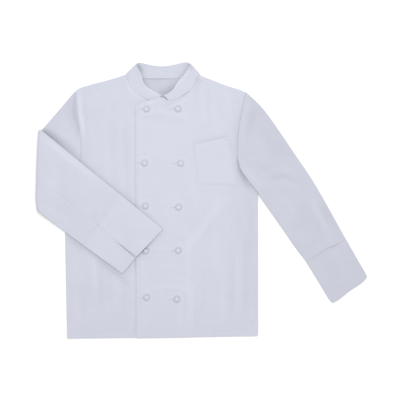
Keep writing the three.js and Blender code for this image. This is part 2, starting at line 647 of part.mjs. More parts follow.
function makeSleeveRight() {
  const { upper, line, back } = sleeveRight;
  const last = line.length - 1;
  const frontRadius = ELBOW_RADIUS - FOREARM_EDGE;
  const across = (j) => Math.sin(Math.PI * j / last);
  const front = upper.map((row, i) => row.map((middle, j) => {
    const fall = (i - UPPER_RISE_ROWS) / (UPPER_ROWS - UPPER_RISE_ROWS);
    const share = soft(i / UPPER_RISE_ROWS) * (1 - soft(fall));
    const rise = i === 0 ? CLOTH + LIFT : FOREARM_EDGE;
    return point(middle.x, middle.y, CLOTH / 2 + rise + FOREARM_PUFF * share * across(j));
  }));
  settle(front, CLOTH);
  lay(front, CLOTH);
  const forearmSeam = curve([line[UNDER_CELLS].toArray(), ...BACK_SEAM_RIGHT], FOREARM_ROWS);
  const plan = patch(
    line.slice(0, UNDER_CELLS + 1),
    path([CUFF_CORNER, VENT_SEAM], [UNDER_CELLS]),
    curve([line[0].toArray(), FOREARM_LOW, CUFF_CORNER], FOREARM_ROWS),
    forearmSeam,
  ).map((row, i) => join(row, patch(
    line.slice(UNDER_CELLS),
    path([VENT_SEAM, CUFF_TIP], [last - UNDER_CELLS]),
    forearmSeam,
    path([line[last].toArray(), CUFF_TIP], [FOREARM_ROWS]),
  )[i]));
  const crown = CLOTH / 2 + ELBOW_RADIUS;
  const lower = plan.map((row, i) => row.map((middle) => {
    const high = crown + frontRadius;
    return point(middle.x, middle.y, high * (1 - soft(i / SLOPE_ROWS)));
  }));
  trimRow(lower, FOREARM_ROWS, FOREARM_ROWS - 1, SEAM);
  settle(lower, CLOTH);
  const folds = (middle) => foldHeight(FOREARM_FOLDS, middle.x, middle.y);
  const upperFace = lower.map((row, i) => row.map((middle, j) => {
    const puff = soft(i / FOREARM_RISE_ROWS) * across(j) * (FOREARM_PUFF + folds(middle));
    return point(middle.x, middle.y, middle.z + FOREARM_EDGE + puff);
  }));
  const backWall = [...back, ...bendRows(line, ELBOW_RADIUS), ...upperFace];
  const frontWall = [...front, ...bendRows(line, frontRadius), ...lower];
  [backWall, frontWall].forEach((grid) => {
    trimColumn(grid, 0, 1, FOREARM_EDGE / 2);
    trimColumn(grid, last, last - 1, FOREARM_EDGE / 2);
  });
  const lips = backWall.map((row) => row[0].clone().add(row[1].clone().sub(row[0]).setLength(LAP)));
  const heels = backWall.map((row) => row[0].clone());
  const under = backWall.map((row) => row.slice(0, UNDER_CELLS + 1).map((middle) => middle.clone()));
  const backTop = backWall.map((row) => row.slice(UNDER_CELLS).map((middle) => middle.clone()));
  trimColumn(under, 0, 1, LAP + SEAM * 2);
  trimColumn(backTop, 0, 1, SEAM);
  add('sleeve_right_under', wall(under, CLOTH), materials.sleeve);
  add('sleeve_right_top', wall(topPiece(lips, heels, frontWall, backTop), CLOTH), materials.sleeve);
}

// Cuffs: a band whose two ends meet on the back face and part at the vent.
const CUFF_ROWS = 6;
const VENT_ROW = 3;         // where the vent starts
const VENT_GAP = 7;         // its width at the cuff's end
const CUFF_EDGE = 4;        // height between the walls, at the edges
const CUFF_PUFF = 0.8;
const CUFF_END_LEFT = [[500, 111], [508, 100], [557, 134], [606, 168], [612, 178]];
const CUFF_END_RIGHT = [[-120, 188], [-80, 236], [0.6, 320]];
const VENT_RIGHT = [VENT_SEAM, [-134, 280], [-80, 236]];

function ventGap(row) {
  return SEAM + VENT_GAP * Math.max(0, (row - VENT_ROW) / (CUFF_ROWS - VENT_ROW));
}

// One face of a cuff, in two parts on each side of the vent.
function cuffPlan(start, end, vent) {
  const last = start.length - 1;
  const edge = (from, to) => path([from.toArray(), to.toArray()], [CUFF_ROWS]);
  const parts = [
    patch(start.slice(0, UNDER_CELLS + 1), end.slice(0, UNDER_CELLS + 1), edge(start[0], end[0]), vent),
    patch(start.slice(UNDER_CELLS), end.slice(UNDER_CELLS), vent, edge(start[last], end[last])),
  ];
  parts.forEach((grid) => trimRow(grid, 0, 1, SEAM));
  return parts[0].map((row, i) => join(row, parts[1][i]));
}

function makeCuff(name, front, back) {
  const last = front[0].length - 1;
  [front, back].forEach((grid) => {
    trimColumn(grid, 0, 1, CUFF_EDGE / 2);
    trimColumn(grid, last, last - 1, CUFF_EDGE / 2);
  });
  const grid = front.map((row, i) => {
    const behind = back[i];
    const vent = behind[UNDER_CELLS];
    const lip = (beside) => vent.clone().add(beside.clone().sub(vent).setLength(ventGap(i) / 2));
    return [
      lip(behind[UNDER_CELLS - 1]),
      ...behind.slice(0, UNDER_CELLS).reverse(),
      ...turn(row[0], behind[0], row[1]).reverse(),
      ...row,
      ...turn(row[last], behind[last], row[last - 1]),
      ...behind.slice(UNDER_CELLS + 1).reverse(),
      lip(behind[UNDER_CELLS + 1]),
    ];
  });
  add(name, wall(grid, STIFF), materials.trim);
}

const copyGrid = (grid) => grid.map((row) => row.map((middle) => middle.clone()));
const cuffLeft = {};

function layCuffLeftBack() {
  const start = curve(CUFF_SEAM_LEFT, ARM_CELLS + FOLD_CELLS);
  const end = curve(CUFF_END_LEFT, ARM_CELLS + FOLD_CELLS);
  const vent = path([start[UNDER_CELLS].toArray(), end[UNDER_CELLS].toArray()], [CUFF_ROWS]);
  cuffLeft.back = onTable(cuffPlan(start, end, vent), STIFF);
}

function makeCuffLeft() {
  const front = copyGrid(cuffLeft.back);
  front.forEach((row) => row.forEach((middle, j) => {
    middle.z = STIFF / 2 + CUFF_EDGE + CUFF_PUFF * Math.sin(Math.PI * j / (row.length - 1));
  }));
  makeCuff('cuff_left', front, cuffLeft.back);
}

function makeCuffRight() {
  const start = path([CUFF_CORNER, VENT_SEAM, CUFF_TIP], SEAM_CELLS);
  const end = path(CUFF_END_RIGHT, SEAM_CELLS);
  const front = cuffPlan(start, end, path(VENT_RIGHT, [VENT_ROW, CUFF_ROWS - VENT_ROW]));
  settle(front, STIFF);
  const back = copyGrid(front);
  back.forEach((row) => row.forEach((middle, j) => {
    middle.z += CUFF_EDGE + CUFF_PUFF * Math.sin(Math.PI * j / (row.length - 1));
  }));
  makeCuff('cuff_right', front, back);
}

makeBack();
laySleeveLeftBack();
laySleeveRightUpper();
layCuffLeftBack();
makeFrontRight();
lay(collarUnderLap, STIFF);
makeFrontLeft();
add('collar', wall(collar, STIFF), materials.trim);
makePocket();
BUTTON_ROWS.forEach(({ name, rightX, rightY, leftX, leftY }) => {
  makeButton(`button_r${name}`, rightX, rightY);
  makeButton(`button_l${name}`, leftX, leftY);
});
makeSleeveLeft();
makeCuffLeft();
makeSleeveRight();
makeCuffRight();

// The origin is at the middle of the jacket, on the table.
const size = new THREE.Box3().setFromObject(jacket);
const middle = size.getCenter(point(0, 0));
jacket.children.forEach((mesh) => mesh.position.set(-middle.x, -middle.y, 0));

export default jacket;
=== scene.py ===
# %% [markdown]
# # A white chef jacket, laid flat
# A double-breasted jacket in white twill lies on its back. One sleeve is straight, and the other is
# folded at the elbow, so that its forearm and cuff lie across the front. The frame gives each sewn piece
# as a plain wall. This lesson refines those walls into cloth, creases them, sews them, and lights
# them softly.

# %% Load the frame
import math

import bmesh
import bpy
import numpy as np
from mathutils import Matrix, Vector, noise
from mathutils.bvhtree import BVHTree
from mathutils.kdtree import KDTree


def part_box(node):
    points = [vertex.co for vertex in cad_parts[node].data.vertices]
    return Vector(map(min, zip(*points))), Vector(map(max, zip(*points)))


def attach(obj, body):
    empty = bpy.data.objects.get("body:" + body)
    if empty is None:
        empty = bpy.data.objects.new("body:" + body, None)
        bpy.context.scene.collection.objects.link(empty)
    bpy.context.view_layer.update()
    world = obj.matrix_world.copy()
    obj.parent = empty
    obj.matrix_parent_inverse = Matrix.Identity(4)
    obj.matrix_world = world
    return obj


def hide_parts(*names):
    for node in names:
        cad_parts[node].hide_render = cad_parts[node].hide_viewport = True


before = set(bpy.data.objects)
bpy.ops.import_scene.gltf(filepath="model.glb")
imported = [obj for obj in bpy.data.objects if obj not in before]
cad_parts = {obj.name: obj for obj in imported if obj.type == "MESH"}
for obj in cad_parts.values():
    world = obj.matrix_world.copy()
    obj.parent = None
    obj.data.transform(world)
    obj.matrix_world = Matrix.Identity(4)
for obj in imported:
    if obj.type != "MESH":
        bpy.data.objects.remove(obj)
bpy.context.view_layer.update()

print("pieces in the frame:", len(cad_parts))

# %% [markdown]
# ## One set of measures
# A tailor measures from the centre front and from the hem, so every table here does too, in millimetres:
# x grows towards the straight sleeve and y towards the collar. The back panel's lowest corner is known in
# both sets of measures, and that gives the shift between them.

# %% The tailor's measures and the frame's
MM = 0.001
BACK_LOW = (-291.0, -6.0)
shift = np.array([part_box("back")[0][axis] / MM - BACK_LOW[axis] for axis in (0, 1)] + [0.0])


def to_frame(points):
    """Points in the tailor's millimetres become metres in the frame."""
    return (np.asarray(points, float) + shift) * MM


def to_tailor(points):
    return np.asarray(points, float) / MM - shift


print("shift in mm:", shift.round(2))

# %% [markdown]
# ## The camera
# The photograph was taken from straight above. A long lens from three metres keeps the sleeves free of
# perspective, and 90 mm on a 36 mm sensor takes in 1.2 m, which is the width of the picture at the
# jacket.

# %% Camera
CAMERA_AIM = (112.2, 408.0)
CAMERA_HEIGHT = 2998.0
LENS = 90.0

camera_data = bpy.data.cameras.new("overhead_camera")
camera_data.lens = LENS
camera_data.sensor_width = 36.0
camera = bpy.data.objects.new("overhead_camera", camera_data)
camera.location = to_frame((*CAMERA_AIM, CAMERA_HEIGHT))
bpy.context.collection.objects.link(camera)
bpy.context.scene.camera = camera
bpy.context.scene.view_settings.view_transform = "Standard"
print("camera at", [round(value, 3) for value in camera.location])

# %% [markdown]
# ## From a plain wall to a fine cloth
# A wall of the frame has cells about 30 mm wide. Each one is copied, its triangles are paired into four-
# sided cells, and a subdivision surface cuts them down to about 4 mm. The cut edges get a crease, so that
# the outline stays where the pattern puts it, and only its last step is rounded, as a turned and pressed
# edge is.

# %% Read and write a mesh's points
def points_of(piece):
    flat = np.empty(len(piece.data.vertices) * 3)
    piece.data.vertices.foreach_get("co", flat)
    return to_tailor(flat.reshape(-1, 3))


def move_points(piece, points):
    piece.data.vertices.foreach_set("co", to_frame(points).ravel())
    piece.data.update()


# %% Fine copies of the walls
WELD = 1e-6
EDGE_ANGLE = math.radians(60)
EDGE_CREASE = 0.5
FINE = 3
FINE_SMALL = 2          # enough for walls whose cells are small in the frame
SMALL_CELLS = ("cuff_left", "cuff_right", "sleeve_left_under", "sleeve_right_under")


def fine_copy(node, levels):
    """Copies a wall of the frame and cuts it into smooth small cells."""
    net = bmesh.new()
    net.from_mesh(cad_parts[node].data)
    bmesh.ops.remove_doubles(net, verts=net.verts, dist=WELD)
    bmesh.ops.join_triangles(
        net, faces=net.faces, angle_face_threshold=math.pi, angle_shape_threshold=math.pi
    )
    crease = net.edges.layers.float.new("crease_edge")
    for edge in net.edges:
        if len(edge.link_faces) == 2 and edge.calc_face_angle() > EDGE_ANGLE:
            edge[crease] = EDGE_CREASE
    mesh = bpy.data.meshes.new(node + "_cloth")
    net.to_mesh(mesh)
    net.free()
    cloth = bpy.data.objects.new(node + "_cloth", mesh)
    bpy.context.collection.objects.link(cloth)
    rounding = cloth.modifiers.new("rounding", "SUBSURF")
    rounding.levels = levels
    rounding.render_levels = levels
    done = cloth.evaluated_get(bpy.context.evaluated_depsgraph_get())
    cloth.data = bpy.data.meshes.new_from_object(done)
    cloth.modifiers.clear()
    cloth.data.materials.clear()
    cloth.data.shade_smooth()
    return cloth


CLOTH_NODES = [
    "back", "front_right", "front_left", "collar", "pocket", "sleeve_left_under", "sleeve_left_top",
    "cuff_left", "sleeve_right_under", "sleeve_right_top", "cuff_right",
]
cloth = {node: fine_copy(node, FINE_SMALL if node in SMALL_CELLS else FINE) for node in CLOTH_NODES}
print("cells:", {node: len(piece.data.polygons) for node, piece in cloth.items()})

# %% [markdown]
# ## Close the seams
# The frame keeps a small gap between pieces that are sewn edge to edge. Here their rounded edges swell
# into each other, so that a seam is a shallow line and not a slot. An edge that is near no other piece
# only regains what the rounding took from it.

# %% Swell the edges
UPRIGHT = 0.8           # a point whose normal rises less than this is on a cut edge or a fold
SEWN_REACH = 2.4        # edges this near each other are sewn together
SEWN_SWELL = 0.95
FREE_SWELL = 0.28


def normals_of(piece):
    flat = np.empty(len(piece.data.vertices) * 3)
    piece.data.vertices.foreach_get("normal", flat)
    return flat.reshape(-1, 3)


def near_others(node, edges):
    """For each point on a piece's edges, whether another piece's edge is near."""
    others = np.concatenate([edges[other] for other in edges if other != node])
    tree = KDTree(len(others))
    for k, point in enumerate(others):
        tree.insert(point, k)
    tree.balance()
    return np.array([tree.find(point)[2] < SEWN_REACH for point in edges[node]])


edge_masks = {node: np.abs(normals_of(piece)[:, 2]) < UPRIGHT for node, piece in cloth.items()}
edge_places = {node: points_of(cloth[node])[mask] for node, mask in edge_masks.items()}
for node, piece in cloth.items():
    swell = np.zeros(len(piece.data.vertices))
    sewn_edge = near_others(node, edge_places)
    swell[edge_masks[node]] = np.where(sewn_edge, SEWN_SWELL, FREE_SWELL)
    normals = normals_of(piece)
    flatness = np.linalg.norm(normals[:, :2], axis=1)
    move_points(piece, points_of(piece) + normals * (1, 1, 0) * (swell * flatness)[:, None])
    print(node, "edge points", len(sewn_edge), "of which sewn", int(sewn_edge.sum()))

# %% [markdown]
# ## Where the cloth is high
# The pieces lie on each other, so creasing a lower one must lift what lies on it. A height map of 3 mm
# squares remembers the highest point of the pieces laid so far. Each cell of a mesh is sampled at a few
# inner points, because its corners alone would miss squares.

# %% Height maps
SQUARE = 3.0
MAP_LOW = np.array([-400.0, -30.0])
MAP_SHAPE = (350, 295)
SAMPLES = [(u, v) for u in (0, 0.25, 0.5, 0.75) for v in (0, 0.25, 0.5, 0.75)]


def squares(points):
    places = ((points[:, :2] - MAP_LOW) / SQUARE).astype(int)
    return places[:, 0].clip(0, MAP_SHAPE[0] - 1), places[:, 1].clip(0, MAP_SHAPE[1] - 1)


def sample(piece):
    """Points spread over every cell of a mesh."""
    points = points_of(piece)
    corners = np.array([(*face.vertices, face.vertices[-1])[:4] for face in piece.data.polygons])
    a, b, c, d = (points[corners[:, k]] for k in range(4))
    return np.concatenate([(a * (1 - u) + b * u) * (1 - v) + (d * (1 - u) + c * u) * v for u, v in SAMPLES])


def height_map(pieces):
    highest = np.zeros(MAP_SHAPE)
    for piece in pieces:
        points = sample(piece)
        np.maximum.at(highest, squares(points), points[:, 2])
    return highest


def neighbours(values):
    """A map, shifted by up to one square each way."""
    padded = np.pad(values, 1, mode="edge")
    return [padded[i:i + MAP_SHAPE[0], j:j + MAP_SHAPE[1]] for i in range(3) for j in range(3)]


def widen(values, times):
    """The highest value of each square and its neighbours."""
    for _ in range(times):
        values = np.max(neighbours(values), axis=0)
    return values


def blur(values, times):
    for _ in range(times):
        shifted = neighbours(values)
        values = sum(shifted) / len(shifted)
    return values


def read_map(values, points):
    """A map's value at each point, mixed from the four squares round it."""
    place = (points[:, :2] - MAP_LOW) / SQUARE - 0.5
    low = np.floor(place).astype(int).clip(0, np.array(MAP_SHAPE) - 2)
    share = (place - low).clip(0, 1)
    x, y = low[:, 0], low[:, 1]
    near = values[x, y] * (1 - share[:, 0]) + values[x + 1, y] * share[:, 0]
    far = values[x, y + 1] * (1 - share[:, 0]) + values[x + 1, y + 1] * share[:, 0]
    return near * (1 - share[:, 1]) + far * share[:, 1]


# %% [markdown]
# ## Creases placed one by one
# Cotton twill that was pressed, packed and unfolded keeps long soft ridges, short cross folds at the
# buttons and a drag line from the chest to the waist. A simulation would give creases, but not these
# ones. So each crease is a row: a bent line, how wide and how high it is, and how far it leans to one
# side. A height below zero is a trough. A little noise keeps the lines from being ruled.

# %% A crease's height at each point
CREASE_COLUMNS = ("from_x", "from_y", "via_x", "via_y", "to_x", "to_y", "wide", "high", "lean")
PRESSED = 0.6           # share of a crease's height that is left after pressing
WOBBLE = 2.5
WOBBLE_LENGTH = 45.0


def noise_at(points, length, seed):
    """Smooth noise from -1 to 1, with hills about as long as given, in mm."""
    return np.array([noise.noise(Vector((x / length, y / length, seed))) for x, y in points[:, :2]])


def lines_at(points, rows):
    """The sum of soft bent lines at each point, each as high as its row says."""
    total = np.zeros(len(points))
    if not rows:
        return total
    wobble = WOBBLE * noise_at(points, WOBBLE_LENGTH, 3.7)
    for row in rows:
        at = dict(zip(CREASE_COLUMNS, row))
        line = np.array([(at[end + "_x"], at[end + "_y"]) for end in ("from", "via", "to")])
        lengths = np.linalg.norm(np.diff(line, axis=0), axis=1)
        best = np.full(len(points), np.inf)
        side = np.zeros(len(points))
        share = np.zeros(len(points))
        for k, length in enumerate(lengths):
            along = (line[k + 1] - line[k]) / length
            away = points[:, :2] - line[k]
            reach = (away @ along).clip(0, length)
            across = away[:, 0] * along[1] - away[:, 1] * along[0]
            distance = np.linalg.norm(away - reach[:, None] * along, axis=1)
            nearer = distance < best
            best[nearer] = distance[nearer]
            side[nearer] = across[nearer]
            share[nearer] = (lengths[:k].sum() + reach[nearer]) / lengths.sum()
        wide = at["wide"] * (1 + at["lean"] * np.sign(side))
        ends = np.sqrt(np.sin(math.pi * (0.04 + 0.92 * share)))
        total += at["high"] * ends * np.exp(-((np.maximum(best + wobble * np.sign(side), 0) / wide) ** 2))
    return total


# %% The creases of each piece
CREASES = {
    "front_left": [
        (-58, 664, -6, 672, 66, 655, 9, 1.5, -0.3),
        (-64, 652, 0, 656, 12, 646, 6, -0.9, 0),
        (12, 645, 42, 641, 72, 645, 6, -0.8, 0),
        (-52, 633, -10, 628, 30, 632, 11, 0.7, 0),
        (-46, 266, 0, 260, 36, 261, 8, 1.2, 0.3),
        (-44, 256, 0, 250, 32, 250, 6, -0.6, 0),
        (-52, 136, 10, 150, 78, 137, 9, 1.5, -0.2),
        (-30, 172, 14, 176, 60, 168, 9, 0.8, 0),
        (-20, 205, 20, 210, 58, 204, 10, 0.6, 0),
        (236, 300, 238, 190, 234, 60, 8, 1.6, 0.3),
        (222, 285, 224, 180, 221, 70, 6, 1.8, -0.2),
        (206, 240, 208, 150, 205, 60, 8, -0.8, 0),
        (178, 170, 180, 105, 178, 45, 8, 1.3, 0),
        (88, 150, 90, 95, 87, 30, 8, 1.8, 0.3),
        (70, 330, 76, 180, 74, 20, 8, 1.1, -0.3),
        (54, 130, 56, 80, 52, 22, 7, 1.2, 0),
        (196, 410, 140, 345, 82, 262, 13, 2.1, 0.35),
        (188, 396, 134, 330, 84, 250, 9, -0.8, 0),
        (218, 625, 221, 590, 217, 552, 8, -1.2, 0),
        (212, 560, 216, 520, 213, 470, 8, 1.2, 0),
        (196, 618, 202, 590, 198, 560, 9, 0.7, 0),
        (116, 752, 122, 700, 128, 650, 7, 1.3, 0.2),
        (134, 742, 138, 690, 140, 640, 7, -0.7, 0),
        (154, 738, 158, 690, 162, 648, 8, 0.9, 0),
        (192, 724, 200, 690, 206, 644, 8, 1.3, 0),
        (168, 610, 185, 640, 196, 660, 10, 0.8, 0),
        (262, 70, 274, 50, 280, 40, 8, 1.6, 0),
        (284, 62, 272, 38, 262, 30, 6, -1.0, 0),
        (-68, 690, -70, 360, -62, 4, 8, 0.9, -0.4),
        (30, 480, 34, 440, 30, 400, 14, 0.5, 0),
        (110, 430, 160, 436, 205, 428, 9, -0.6, 0),
        (96, 440, 100, 410, 92, 380, 12, 0.7, 0),
        (60, 590, 80, 560, 82, 520, 12, 0.7, 0),
        (240, 410, 246, 350, 250, 300, 12, 0.8, 0),
        (265, 400, 268, 320, 266, 240, 10, -0.7, 0),
        (150, 330, 160, 240, 158, 190, 14, 0.7, 0),
        (120, 200, 126, 120, 122, 60, 11, -0.6, 0),
        (264, 210, 262, 150, 266, 100, 9, 0.9, 0),
    ],
    "front_right": [
        (-254, 722, -247, 655, -239, 590, 8, 2.4, -0.3),
        (-236, 720, -232, 660, -228, 600, 7, -0.9, 0),
        (-206, 228, -201, 165, -197, 105, 8, 2.0, 0.35),
        (-188, 220, -186, 160, -184, 100, 8, -0.7, 0),
        (-176, 664, -170, 560, -165, 470, 9, 0.9, 0),
        (-150, 650, -150, 540, -143, 440, 9, -0.7, 0),
        (-128, 640, -126, 540, -120, 430, 8, 1.0, 0),
        (-112, 655, -108, 560, -106, 420, 6, -0.8, 0),
        (-92, 690, -91, 400, -92, 16, 8, 1.2, -0.3),
        (-146, 698, -152, 684, -140, 668, 6, -1.4, 0),
        (-158, 690, -164, 672, -150, 655, 8, 1.1, 0),
        (-226, 736, -222, 728, -216, 724, 7, -1.3, 0),
        (-200, 735, -190, 715, -188, 690, 9, 0.8, 0),
        (-128, 742, -140, 720, -152, 712, 8, 0.8, 0),
        (-205, 600, -200, 560, -190, 520, 14, 0.7, 0),
        (-262, 240, -258, 160, -262, 60, 12, 0.8, 0),
        (-240, 120, -236, 80, -240, 40, 10, -0.7, 0),
        (-166, 90, -160, 60, -164, 24, 9, 0.9, 0),
        (-140, 190, -136, 130, -138, 40, 9, 0.8, 0),
        (-118, 150, -116, 90, -118, 24, 7, -0.8, 0),
        (-230, 84, -205, 78, -176, 82, 9, 0.7, 0),
    ],
    "pocket": [
        (96, 573, 147, 583, 196, 594, 6, 1.6, 0),
        (118, 548, 150, 551, 196, 560, 9, 0.5, 0),
        (112, 500, 150, 512, 206, 506, 14, 0.4, 0),
        (205, 585, 198, 575, 196, 560, 6, -0.5, 0),
    ],
    "sleeve_left_top": [
        (262, 712, 248, 660, 238, 600, 9, 1.8, 0.3),
        (280, 690, 266, 640, 256, 590, 10, -1.2, 0),
        (244, 505, 268, 474, 298, 440, 10, 2.4, -0.3),
        (262, 520, 300, 506, 352, 470, 12, -1.6, 0),
        (300, 486, 340, 500, 392, 490, 9, 1.3, 0),
        (322, 470, 362, 480, 402, 466, 8, -1.5, 0),
        (330, 452, 366, 458, 410, 440, 10, 1.1, 0),
        (340, 530, 370, 505, 398, 470, 11, 1.2, 0),
        (282, 600, 300, 560, 312, 530, 14, 1.0, 0),
        (452, 410, 474, 360, 500, 305, 9, 2.6, 0.4),
        (470, 420, 492, 372, 520, 318, 9, -2.2, 0),
        (500, 305, 508, 284, 524, 262, 8, 1.8, 0.3),
        (360, 420, 384, 380, 400, 340, 14, 0.9, 0),
        (410, 400, 420, 360, 440, 320, 12, -0.9, 0),
        (330, 400, 352, 372, 380, 340, 9, 0.9, 0),
        (396, 300, 420, 292, 444, 300, 10, 0.8, 0),
        (420, 262, 448, 268, 480, 292, 8, -1.0, 0),
        (290, 660, 320, 620, 352, 575, 9, 1.0, 0),
    ],
    "cuff_left": [
        (516, 262, 530, 232, 548, 200, 10, 1.0, 0.3),
        (452, 214, 470, 186, 500, 150, 12, 0.6, 0),
        (484, 236, 510, 210, 530, 160, 12, -0.6, 0),
        (540, 180, 560, 165, 575, 170, 10, 0.5, 0),
    ],
    "sleeve_right_top": [
        (-264, 728, -264, 690, -262, 660, 7, -1.8, 0),
        (-262, 668, -256, 630, -250, 596, 9, -1.4, 0),
        (-290, 700, -282, 650, -272, 600, 11, 1.0, 0),
        (-362, 600, -300, 548, -226, 486, 10, 1.9, -0.3),
        (-226, 486, -140, 424, -120, 410, 9, 0.9, 0),
        (-340, 560, -322, 480, -330, 420, 14, 0.9, 0),
        (-300, 520, -240, 470, -180, 430, 14, 0.7, 0),
        (-268, 400, -220, 410, -170, 400, 12, -0.7, 0),
        (-240, 372, -210, 378, -180, 384, 7, 0.9, 0),
        (-200, 340, -206, 366, -190, 396, 9, -0.9, 0),
        (-356, 470, -330, 460, -310, 470, 10, 0.7, 0),
    ],
    "sleeve_right_under": [
        (-352, 430, -318, 424, -290, 404, 8, 1.0, 0),
        (-300, 386, -262, 360, -226, 330, 9, -0.8, 0),
        (-252, 330, -226, 322, -204, 330, 7, 0.9, 0),
        (-236, 300, -230, 310, -214, 324, 7, -0.8, 0),
        (-356, 392, -320, 366, -280, 336, 9, 1.0, 0),
    ],
    "cuff_right": [
        (-190, 330, -160, 310, -132, 288, 7, 1.3, 0.3),
        (-172, 356, -140, 372, -112, 384, 12, 0.6, 0),
        (-120, 340, -80, 330, -40, 322, 14, 0.5, 0),
        (-214, 262, -180, 244, -140, 214, 9, 0.7, 0),
        (-60, 330, -40, 300, -30, 292, 9, -0.5, 0),
    ],
    "collar": [
        (-86, 742, -72, 752, -62, 768, 7, 0.9, 0),
        (60, 742, 66, 752, 74, 776, 7, 0.8, 0),
        (-40, 730, -30, 722, -22, 712, 8, 0.5, 0),
    ],
    "back": [
        (-30, 760, 0, 752, 26, 762, 9, 0.9, 0),
        (4, 748, 16, 740, 26, 738, 7, -0.5, 0),
    ],
}
print("creases placed:", sum(len(rows) for rows in CREASES.values()))

# %% [markdown]
# ## Buttons press into the cloth
# Each button is a domed stud that is held through its buttonhole, so the cloth round it is drawn down in
# a ring and small drag lines run from it. The ring is part of the cloth's own height.

# %% Places of the buttons
BUTTONS = {
    "button_r1": (-48.6, 680), "button_r2": (-54, 518), "button_r3": (-51.6, 389), "button_r4": (-51, 255),
    "button_r5": (-48, 115.5), "button_l1": (46.5, 680), "button_l2": (54, 517), "button_l3": (48, 385.5),
    "button_l4": (46.5, 256), "button_l5": (43, 110),
}
DIMPLE_RADIUS = 8.5
DIMPLE_WIDTH = 4.0
DIMPLE_DEPTH = -0.9
RIM_RADIUS = 15.0
RIM_WIDTH = 5.0
RIM_HEIGHT = 0.8


def button_dimples(points):
    total = np.zeros(len(points))
    for x, y in BUTTONS.values():
        distance = np.hypot(points[:, 0] - x, points[:, 1] - y)
        total += DIMPLE_DEPTH * np.exp(-(((distance - DIMPLE_RADIUS) / DIMPLE_WIDTH) ** 2))
        total += RIM_HEIGHT * np.exp(-(((distance - RIM_RADIUS) / RIM_WIDTH) ** 2))
    return total


# %% [markdown]
# ## Crumple, and only on the upper walls
# Between the main creases the twill is never quite flat, so two soft noises add hills of a third of a
# millimetre. A sleeve is a tube: its lower wall keeps flat on the table or on the body, and the change
# fades in from there to the upper wall.

# %% Crease every piece
CRUMPLE = ((48.0, 0.34, 11.3), (19.0, 0.22, 23.9), (9.0, 0.12, 31.1))
TUBES = (
    "sleeve_left_under", "sleeve_left_top", "cuff_left",
    "sleeve_right_under", "sleeve_right_top", "cuff_right",
)
DEEPEST = -0.35         # on the body, a trough deeper than this would reach the layer below
THINNEST = 1.5
UPPER_FROM = 0.3        # the share of a tube's height where its upper wall begins
UPPER_FADE = 0.4
STIFFER = {"collar": 0.5, "cuff_left": 0.6, "cuff_right": 0.6, "pocket": 0.6, "back": 0.5}
shading = {}


def upper_share(piece, points):
    """0 on a tube's lower wall, 1 on its upper wall."""
    spread = sample(piece)
    low = np.full(MAP_SHAPE, np.inf)
    high = np.full(MAP_SHAPE, -np.inf)
    np.minimum.at(low, squares(spread), spread[:, 2])
    np.maximum.at(high, squares(spread), spread[:, 2])
    place = squares(points)
    height = (points[:, 2] - low[place]) / np.maximum(high[place] - low[place], THINNEST)
    share = ((height - UPPER_FROM) / UPPER_FADE).clip(0, 1)
    return share * share * (3 - 2 * share)


for node, piece in cloth.items():
    points = points_of(piece)
    change = lines_at(points, CREASES.get(node, [])) * PRESSED
    fine = sum(high * noise_at(points, length, seed) for length, high, seed in CRUMPLE)
    change += fine * STIFFER.get(node, 1.0)
    if node in ("front_left", "front_right"):
        change += button_dimples(points)
    if node in TUBES:
        change *= upper_share(piece, points)
    shading[node] = change.copy()
    if node in ("back", "front_right", "front_left", "pocket"):
        change = np.maximum(change, DEEPEST)
    points[:, 2] += change
    move_points(piece, points)
for node, change in shading.items():
    print(node, "changes in mm, from", change.min().round(1), "to", change.max().round(1))

# %% [markdown]
# ## Let each layer rest on the ones below
# In the order in which the jacket was laid out, every layer is lifted where a crease of a lower one would
# come through it. Both faces of a wall, and both walls of a sleeve, rise together, so nothing gets
# thinner.

# %% Settle the layers
CLEAR = 0.25
ON_TABLE = 1.4          # nothing below this height lies on another piece
BESIDE = 12.0           # near the armhole, a sleeve lies beside the body and not on it
BESIDE_LIFT = 1.0
ARMHOLES = [
    [(285, 457), (231, 504), (225, 530), (227, 600), (234, 650), (250, 729)],
    [(-286.5, 445.5), (-262, 478), (-248, 525), (-245, 590), (-256, 660), (-262, 732)],
]


def distance_to(line, points):
    """How far each point is from a bent line, seen from above."""
    nearest = np.full(len(points), np.inf)
    for start, end in zip(np.array(line[:-1], float), np.array(line[1:], float)):
        along = end - start
        share = (((points[:, :2] - start) @ along) / (along @ along)).clip(0, 1)
        away = points[:, :2] - start - share[:, None] * along
        nearest = np.minimum(nearest, np.linalg.norm(away, axis=1))
    return nearest


def near_armhole(points):
    return np.min([distance_to(armhole, points) for armhole in ARMHOLES], axis=0) < BESIDE


def settle(pieces, below):
    need = np.zeros(MAP_SHAPE)
    for piece in pieces:
        points = sample(piece)
        place = squares(points)
        lack = below[place] + CLEAR - points[:, 2]
        most = np.where(near_armhole(points), BESIDE_LIFT, np.inf)
        short = (lack > 0) & (lack < most) & (below[place] > 0) & (points[:, 2] > ON_TABLE)
        np.maximum.at(need, (place[0][short], place[1][short]), lack[short])
    lift = np.maximum(need, blur(widen(need, 1), 2))
    for piece in pieces:
        points = points_of(piece)
        points[:, 2] += read_map(lift, points)
        move_points(piece, points)
    return need.max()


def lift_over(nodes, lower_nodes):
    """Lifts pieces that each have one wall over others."""
    below = height_map([cloth[node] for node in lower_nodes])
    return round(float(settle([cloth[node] for node in nodes], below)), 2)


# %% Sew the pocket down
POCKET_SEWN = [(94, 572), (110.5, 456), (219, 458.7), (197.5, 595)]
POCKET_SINK = 0.95
POCKET_SINK_WIDTH = 5.0


def sink_pocket_edges():
    points = points_of(cloth["pocket"])
    away = distance_to(POCKET_SEWN, points)
    points[:, 2] -= POCKET_SINK * np.exp(-((away / POCKET_SINK_WIDTH) ** 2))
    move_points(cloth["pocket"], points)


